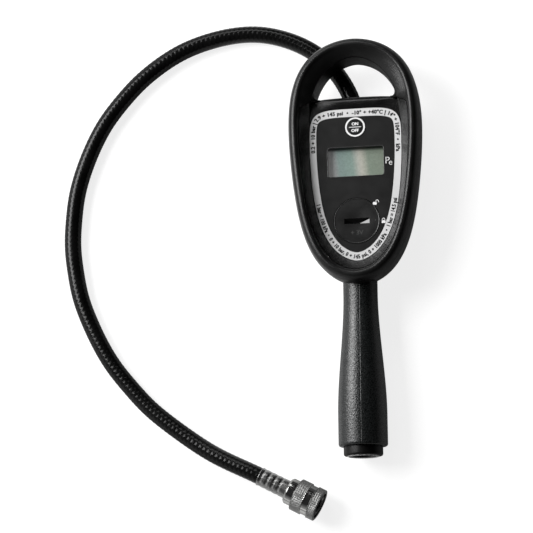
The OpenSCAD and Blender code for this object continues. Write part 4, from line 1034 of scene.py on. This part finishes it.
def ringPlate(name, middle, outer, inner, z, thick=face["printThick"], sides=96):
    # a thin flat ring
    rows = [(outer, z), (outer, z + thick), (inner, z + thick), (inner, z)]
    return gridPiece(name, turned(rows, sides) + (*middle, 0), closeRows=True)


letters = {
    "capHeight": 0.729,  # of a letter one unit in size
    "curveSteps": 3, "extrude": 0.01, "lift": 0.005, "top": 0.015,
}


def letterShapes(words, height, bold=0.012, spacing=1.0, strike=0.1):
    # Blender's own font made a mesh: points in millimetres from the first letter's foot; a
    # second copy beside the first makes the strokes wider
    curve = bpy.data.curves.new("letters", "FONT")
    curve.body, curve.offset, curve.space_character = words, bold, spacing
    curve.resolution_u, curve.extrude = letters["curveSteps"], letters["extrude"]
    holder = newObject("letters", curve)
    bpy.context.view_layer.update()
    mesh = holder.to_mesh()
    points = np.zeros(len(mesh.vertices) * 3)
    mesh.vertices.foreach_get("co", points)
    points = points.reshape(-1, 3)
    faces = [tuple(polygon.vertices) for polygon in mesh.polygons]
    holder.to_mesh_clear()
    bpy.data.objects.remove(holder)
    bpy.data.curves.remove(curve)
    points[:, :2] *= height / letters["capHeight"]
    faces += [tuple(corner + len(points) for corner in corners) for corners in faces]
    return np.concatenate([points, points + (strike, 0, letters["lift"])]), faces


def letterHeights(points, z, rise=2):
    # the letters stand on z, and the rise stretches their thickness
    return z + np.clip(points[:, 2], 0, letters["top"]) * rise


def printWords(name, words, height, place, z, body, material, rise=2, **kind):
    # centred words on a level surface
    points, faces = letterShapes(words, height, **kind)
    points[:, 0] += place[0] - (points[:, 0].min() + points[:, 0].max()) / 2
    points[:, 1] += place[1] - height / 2
    points[:, 2] = letterHeights(points, z, rise)
    return addPiece(meshPiece(name, points, faces), body, "panel_plastic", material)


def printButton(b):
    # a ring, a bar across it, and a word above and below the bar
    addPiece(ringPlate("buttonRing", face["button"], b["ringOut"], b["ringIn"], b["top"]),
             "power_button", "panel_plastic", "printWhite")
    bar = roundBox(b["barWidth"], b["barHeight"], b["barCorner"]) + face["button"]
    addPiece(flatPiece("buttonBar", [bar], b["top"]), "power_button", "panel_plastic",
             "printWhite")
    for words, side in (("ON", 1), ("OFF", -1)):
        place = face["button"][0], face["button"][1] + side * (b["letterRise"]
                                                               + b["letterHeight"] / 2)
        printWords("button" + words.title(), words, b["letterHeight"], place, b["top"],
                   "power_button", "printWhite", bold=b["letterBold"])


printButton(pushButton)

batteryCap = {
    "radius": 14.4, "top": 25.4, "edge": 0.25, "edgeInset": 0.05, "edgeDrop": 0.1,
    "beadRadius": 13.95, "bead": 0.14, "beadHalf": 0.22, "dishRadius": 11.5, "dish": 0.45,
    "slot": (15.7, 3.3), "slotDepth": 2.5, "slotSlope": 1.35, "slotLip": 0.1,
    "slotEdge": (0.12, 0.08),  # width and drop of its bevelled edge
    "slotRings": 9, "dishRings": 26, "rimRings": 12, "rimBand": 1.2,
    "under": 23.5, "skirtRadius": 13.0, "skirtWall": 0.6, "skirtEnd": 21.3, "skirtFloor": 0.8,
    "lugRadius": 14.1, "lugHalf": 16.0, "lugTop": 22.3, "stations": 240,
    "zoneInset": 0.01, "zoneDepth": 0.8,  # where the slot's painted shade ends
}


def makeBatteryCap(b):
    # rings grow from the slot's outline to the rim; height = top - dish * (1 - ease(r / dish
    # radius)) + bead; the slot's floor is the higher of two ramps that meet in its middle and
    # a slope down from its upper side
    half = np.array(b["slot"]) / 2
    run = np.linspace(-1, 1, b["stations"] // 4, endpoint=False)
    ones = np.ones(len(run))
    square = np.concatenate([np.stack(side, 1) for side in ((ones, run), (-run, ones),
                                                            (-ones, -run), (run, -ones))])
    angle = np.arctan2(square[:, 1], square[:, 0])
    slotLine = square * half
    circle = np.stack([np.cos(angle), np.sin(angle)], 1)

    def surface(xy):
        r = np.hypot(*xy.T)
        dip = b["dish"] * (1 - ease(r / b["dishRadius"]))
        lift = b["bead"] * np.exp(-((r - b["beadRadius"]) / b["beadHalf"]) ** 2)
        return b["top"] - dip + lift - b["bead"]

    def slotFloor(xy):
        endZ = surface(half * [[1, 0]])[0] - b["slotLip"]
        ramp = mix(b["top"] - b["slotDepth"], endZ, np.abs(xy[:, 0]) / half[0])
        slope = b["top"] - (half[1] - xy[:, 1]) / b["slotSlope"]
        return raised(xy, np.minimum(np.maximum(ramp, slope), surface(xy) - b["slotLip"]))

    rows = [slotFloor(slotLine * (1, share)) for share in np.linspace(0, 1, b["slotRings"])]
    edgeWidth, edgeDrop = b["slotEdge"]
    rows.append(raised(slotLine, surface(slotLine) - edgeDrop))
    wide = slotLine + edgeWidth * np.sign(slotLine) * (np.abs(slotLine) > half - 1e-6)
    bandStart, rim = b["radius"] - b["rimBand"], b["top"] - b["bead"]
    lines = [mix(wide, circle * bandStart, share)
             for share in np.linspace(0, 1, b["dishRings"])[:-1]]
    lines += [circle * radius
              for radius in np.linspace(bandStart, b["radius"] - b["edge"], b["rimRings"])]
    rows += [raised(line, surface(line)) for line in lines]
    lug = np.abs((np.degrees(angle) + 90) % 180 - 90) < b["lugHalf"]
    lugRadius = np.where(lug, b["lugRadius"], b["skirtRadius"])[:, None]
    skirtIn, floorZ = b["skirtRadius"] - b["skirtWall"], b["skirtEnd"] + b["skirtFloor"]
    for radius, z in ((b["radius"] - b["edgeInset"], rim - b["edgeDrop"]),
                      (b["radius"], rim - b["edge"]), (b["radius"], b["under"]),
                      (b["skirtRadius"], b["under"]), (b["skirtRadius"], b["lugTop"]),
                      (lugRadius, b["lugTop"]), (lugRadius, b["skirtEnd"]),
                      (skirtIn, b["skirtEnd"]), (skirtIn, floorZ), (0, floorZ)):
        rows.append(raised(circle * radius, z))
    return gridPiece("batteryCap", np.stack(rows) + (*face["cap"], 0), smoothAngle=32)


capPiece = makeBatteryCap(batteryCap)
addPiece(capPiece, "battery_door", "panel_plastic", "capPlastic", "battery_cap")


def inSlot(places):
    # within the slot's plan and above the cap's underside
    reach = np.array(batteryCap["slot"]) / 2 - batteryCap["zoneInset"]
    return ((np.abs(places[:, :2] - face["cap"]) < reach).all(1)
            & (places[:, 2] > batteryCap["under"] - batteryCap["zoneDepth"]))


# the slot's faces are painted darker than the cap, as shade in the recess
addZone(capPiece, "slotPaintedShade", inSlot)

capPrint = {
    "pointer": ((0.55, 0), (-0.35, 0.6), (-0.35, -0.6)), "pointerPlace": (11.6, 0),
    "pointerSink": 0.02, "pointerThick": 0.1,
    "words": "+ 3V", "height": 2.9, "place": (0.0, 7.2), "z": 25.02, "rise": 14, "bold": 0.01,
}


def printCap(c):
    # a raised pointer at the right of the slot, and the cell's mark under it, both painted paler
    # than the cap as highlights on their relief
    pointer = np.array(c["pointer"]) + face["cap"] + c["pointerPlace"]
    low = batteryCap["top"] - batteryCap["bead"] - c["pointerSink"]
    addPiece(flatPiece("capPointer", [pointer], low, c["pointerThick"]), "battery_door",
             "panel_plastic", "markPaintedHighlight")
    printWords("capMark", c["words"], c["height"], c["place"], c["z"], "battery_door",
               "markPaintedHighlight", rise=c["rise"], bold=c["bold"])


printCap(capPrint)

padlockShape = {
    "body": (2.35, 1.8, 0.4), "bodyDrop": 0.75,  # width, height and corner
    "outer": 0.98, "inner": 0.62, "leg": 0.75, "steps": 17,
    "openShift": (1.5, 0.5), "closedShift": (0, 0.6),
}


def padlock(middle, opened, p):
    # body with round corners and a shackle: a half ring on two legs, turned aside when open
    body = roundBox(*p["body"]) - (0, p["bodyDrop"])
    a = np.linspace(0, np.pi, p["steps"])[:, None]
    arc = np.concatenate([np.cos(a), np.sin(a)], 1)
    outer, inner, leg = p["outer"], p["inner"], p["leg"]
    arch = np.concatenate([[(outer, -leg)], outer * arc, [(-outer, -leg), (-inner, -leg)],
                           inner * arc * (-1, 1), [(inner, -leg)]])
    shift = p["openShift"] if opened else p["closedShift"]
    return [body + middle, arch + shift + middle]


marks = {
    "locks": (("lockMark", (16.6, 13.8), False), ("unlockMark", (11.4, 25.6), True)),
    # name, letter, height, place and how bold
    "letters": (("pressureP", "P", 4.5, (19.9, 51.9), -0.012),
                ("pressureE", "e", 3.9, (21.7, 50.7), -0.008)),
    "strike": 0.02,
}
for name, middle, opened in marks["locks"]:
    addPiece(flatPiece(name, padlock(middle, opened, padlockShape), face["panelZ"]),
             "handset", "panel_plastic", "printWhite")
for name, letter, height, place, bold in marks["letters"]:
    printWords(name, letter, height, place, face["panelZ"], "handset", "printWhite",
               bold=bold, strike=marks["strike"])

ringPrint = {
    "sideWidth": 4.2, "endWidth": 5.1, "height": 2.5, "spacing": 1.1, "bold": 0.035, "strike": 0.2,
    "inset": 0.25, "every": 3,  # of the panel's edge, and which of its points are kept
    # name, words, first place, last place, and whether the letters' heads point outwards
    "lines": (
        ("ringPrintUpper",
         "0.2 \u00f7 10 bar | 2.9 \u00f7 145 psi  \u2022  -10\u00b0 \u00f7 +40\u00b0C | "
         "14\u00b0 \u00f7 104\u00b0F  \u2022  kPa", (-26.6, 58.3), (27.6, 57.4), True),
        ("ringPrintLower",
         "1 bar = 100 kPa  \u2022  0 \u00f7 10 bar, 0 \u00f7 145 psi, 0 \u00f7 1000 kPa"
         "  \u2022  1 bar = 14.5 psi", (-24.3, 26.0), (25.0, 26.5), False),
    ),
}


def printOnRing(name, words, first, last, outwards, r):
    # letters run along the middle of the ring between two places; x is the way along it,
    # y the way across it, outwards at the top and inwards at the bottom
    edge = panelOutline() + (0, head["neckY"])
    normal = outlineNormals(edge)
    width = r["sideWidth"] * normal[:, 0] ** 2 + r["endWidth"] * normal[:, 1] ** 2
    line = edge - normal * (r["inset"] + width / 2)[:, None]
    if outwards:
        line, normal = line[::-1], normal[::-1]
    start = np.hypot(*(line - first).T).argmin()
    line, normal = (np.roll(part, -start, 0)[::r["every"]] for part in (line, normal))
    stop = np.hypot(*(line - last).T).argmin()
    along = lengthsAlong(line)
    points, faces = letterShapes(words, r["height"], r["bold"], r["spacing"], r["strike"])
    at = points[:, 0] * along[stop] / points[:, 0].max()
    up, foot = (np.stack([np.interp(at, along, part[:, k]) for k in (0, 1)], 1)
                for part in (normal, line))
    across = (points[:, 1] - r["height"] / 2) * (1 if outwards else -1)
    places = raised(foot + unit(up) * across[:, None], letterHeights(points, face["ringZ"]))
    return addPiece(meshPiece(name, places, faces), "handset", "ring_silver", "printBlack")


for line in ringPrint["lines"]:
    printOnRing(*line, ringPrint)
print("face made")

# pieces that keep the CAD shape with their edges rounded
softPieces = [
    ("trigger", 0.5, "finger_lever", "lever_plastic", "leverPlastic"),
    ("rear_case", 0.5, "handset", "case_plastic", "casePlastic"),
    # the nickel inlet fitting takes dark steel, as painted shade inside the inlet's mouth
    ("inlet_fitting", 0.25, "handset", "fitting_nickel", "darkSteel"),
    ("hose_collar", 0.3, "handset", "fitting_nickel", "nickel"),
]
for node, width, body, slot, material in softPieces:
    softCopy(node, width, body, slot, material)

springs = [  # node, joint that presses it, its axis towards the fixed end, its travel
    ("chuck_spring", "sleeve_pull", (-0.8894, 0.4571, 0), 3.03),
    ("valve_spring", "valve_lift", (0, 0, 1), 1.13),
]


def makeSpring(node, joint, axis, travel):
    # the node's own mesh, copied as it is
    piece = newObject(node + "Pressed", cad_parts[node].data.copy())
    addPiece(piece, "handset", "screw_steel", "steel", node)
    places = np.zeros(len(piece.data.vertices) * 3)
    piece.data.vertices.foreach_get("co", places)
    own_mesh(piece)


for spring in springs:
    makeSpring(*spring)

# nodes that keep their own CAD mesh, by finish
nodeFinish = {
    "panelPlastic": ["face_panel"],
    "silverRing": ["silver_ring"],
    "sealRubber": ["case_gasket", "battery_cap_seal", "sensor_seal", "stem_seal", "tube_seal",
                   "inlet_seal", "chuck_seal"],
    "steel": ["case_screws", "trigger_pin", "retaining_ring", "pressure_sensor", "coin_cell",
              "valve_stem"],
    "brass": ["board_screws", "battery_contacts", "valve_block", "valve_cartridge",
              "hose_fitting"],
    "darkSteel": ["chuck_pin", "chuck_collet"],
    "aluminium": ["supply_tube"],
    "filterBronze": ["inlet_filter"],
    "innerPlastic": ["lcd_holder", "battery_holder", "button_switch"],
    "connectorRubber": ["lcd_connectors"],
    "boardGreen": ["circuit_board"],
    "chipBlack": ["controller_chip"],
    "switchPlastic": ["switch_plunger"],
    "displayGlass": ["lcd_glass"],
    "clearLens": ["display_window"],
}
for material, nodes in nodeFinish.items():
    for node in nodes:
        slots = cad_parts[node].material_slots
        if not slots:
            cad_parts[node].data.materials.append(finish[material])
        for slot in slots:
            slot.material = finish[material]
print("cad nodes finished")

# floor, world and lamps
studio = {
    "floorSize": 8.0, "floorDrop": 0.05, "floorColor": 0.28, "floorRough": 0.9,
    "floorGlow": 0.82,
    # its reflection fades along x on both sides of the strip beside the gauge head, to a share
    "floorShine": ((-0.045, -0.028, 0.1), (-0.08, -0.11, 0.1)),
    "rightWall": (0.0, 0.35, 0.15),  # the room fades along x between these, to this share
    # the room: strength of its light at each height of view, from straight down to straight up
    "room": ((0.0, 0.95), (0.5, 0.95), (0.56, 0.9), (0.62, 0.06), (1.0, 0.03)),
    "leftWall": (0.8, (-0.9, -0.2), (0.35, 0.75)),  # strength, its edge along x, its top edge
    "lamps": (  # name, place, aim, size, watts
        ("leftSoftbox", (-0.95, 0.38, 0.92), (0, 0, 0), (0.8, 0.8), 28),
        ("topSoftbox", (-0.3, 1.0, 0.75), (0, 0, 0), (0.9, 0.4), 5),
    ),
}


def anyRay(tree, *rays):
    # 1 where the ray is one of those named
    path = addNode(tree, "ShaderNodeLightPath").outputs
    seen = path[rays[0]]
    for ray in rays[1:]:
        seen = mathNode(tree, "MAXIMUM", seen, path[ray])
    return seen


def makeFloor(s):
    # a wide pale face that glows for the camera, and for reflections in its strip; from below
    # it can be seen through
    half = s["floorSize"] / mm / 2
    corners = raised(np.roll(quarters, 2, 0) * half, -s["floorDrop"])
    floor = meshPiece("studioFloor", corners, [(0, 1, 2, 3)])
    material = newMaterial("floorPale", s["floorColor"], s["floorRough"])
    tree, shader = material.node_tree, shaderOf(material)
    place = placeParts(tree)
    strip = mathNode(tree, "MINIMUM",
                     *(fadeAlong(tree, place["X"], *side) for side in s["floorShine"]))
    glossy = mathNode(tree, "MULTIPLY", strip, anyRay(tree, "Is Glossy Ray"))
    seen = mathNode(tree, "MAXIMUM", glossy,
                    anyRay(tree, "Is Camera Ray", "Is Transmission Ray"))
    shader.inputs["Emission Color"].default_value = colorOf(1)
    joinNodes(mathNode(tree, "MULTIPLY", seen, s["floorGlow"]),
              shader.inputs["Emission Strength"])
    blend = addNode(tree, "ShaderNodeMixShader")
    joinNodes(addNode(tree, "ShaderNodeNewGeometry").outputs["Backfacing"], blend.inputs["Fac"])
    joinNodes(shader.outputs["BSDF"], blend.inputs[1])
    joinNodes(addNode(tree, "ShaderNodeBsdfTransparent").outputs["BSDF"], blend.inputs[2])
    joinNodes(blend.outputs["Shader"], tree.nodes["Material Output"].inputs["Surface"])
    floor.data.materials.append(material)


def makeWorld(s):
    # pale up to the horizon, where it meets the floor, and dim above, with a bright wall at the
    # left; the camera sees white behind the object
    world = bpy.data.worlds.new("studioWorld")
    scene.world = world
    world.use_nodes = True
    tree = world.node_tree
    view = placeParts(tree, "Generated")
    room = rampOf(tree, rescaled(tree, view["Z"], -1, 1, 0, 1), s["room"])
    strength, wallEdge, wallTop = s["leftWall"]
    wall = mathNode(tree, "MULTIPLY", fadeAlong(tree, view["X"], *wallEdge, 0),
                    fadeAlong(tree, view["Z"], *wallTop, 0))
    lit = mathNode(tree, "MULTIPLY_ADD", wall, strength, room)
    dimmed = mathNode(tree, "MULTIPLY", lit, fadeAlong(tree, view["X"], *s["rightWall"]))
    seen = mathNode(tree, "MAXIMUM", dimmed, anyRay(tree, "Is Camera Ray"))
    joinNodes(seen, tree.nodes["Background"].inputs["Color"])


def makeLamps(s):
    # each lamp looks from its place at its aim, with its long side level
    for name, place, aim, size, watts in s["lamps"]:
        data = bpy.data.lights.new(name, "AREA")
        data.shape = "RECTANGLE"
        data.size, data.size_y = size
        data.energy = watts
        back = unit(np.array(place, float) - aim)
        side = unit(np.cross((0, 1, 0), back))
        standAt(newObject(name, data), side, np.cross(back, side), back, place)


makeFloor(studio)
makeWorld(studio)
makeLamps(studio)
scene.view_settings.view_transform = "Standard"
print("studio made")
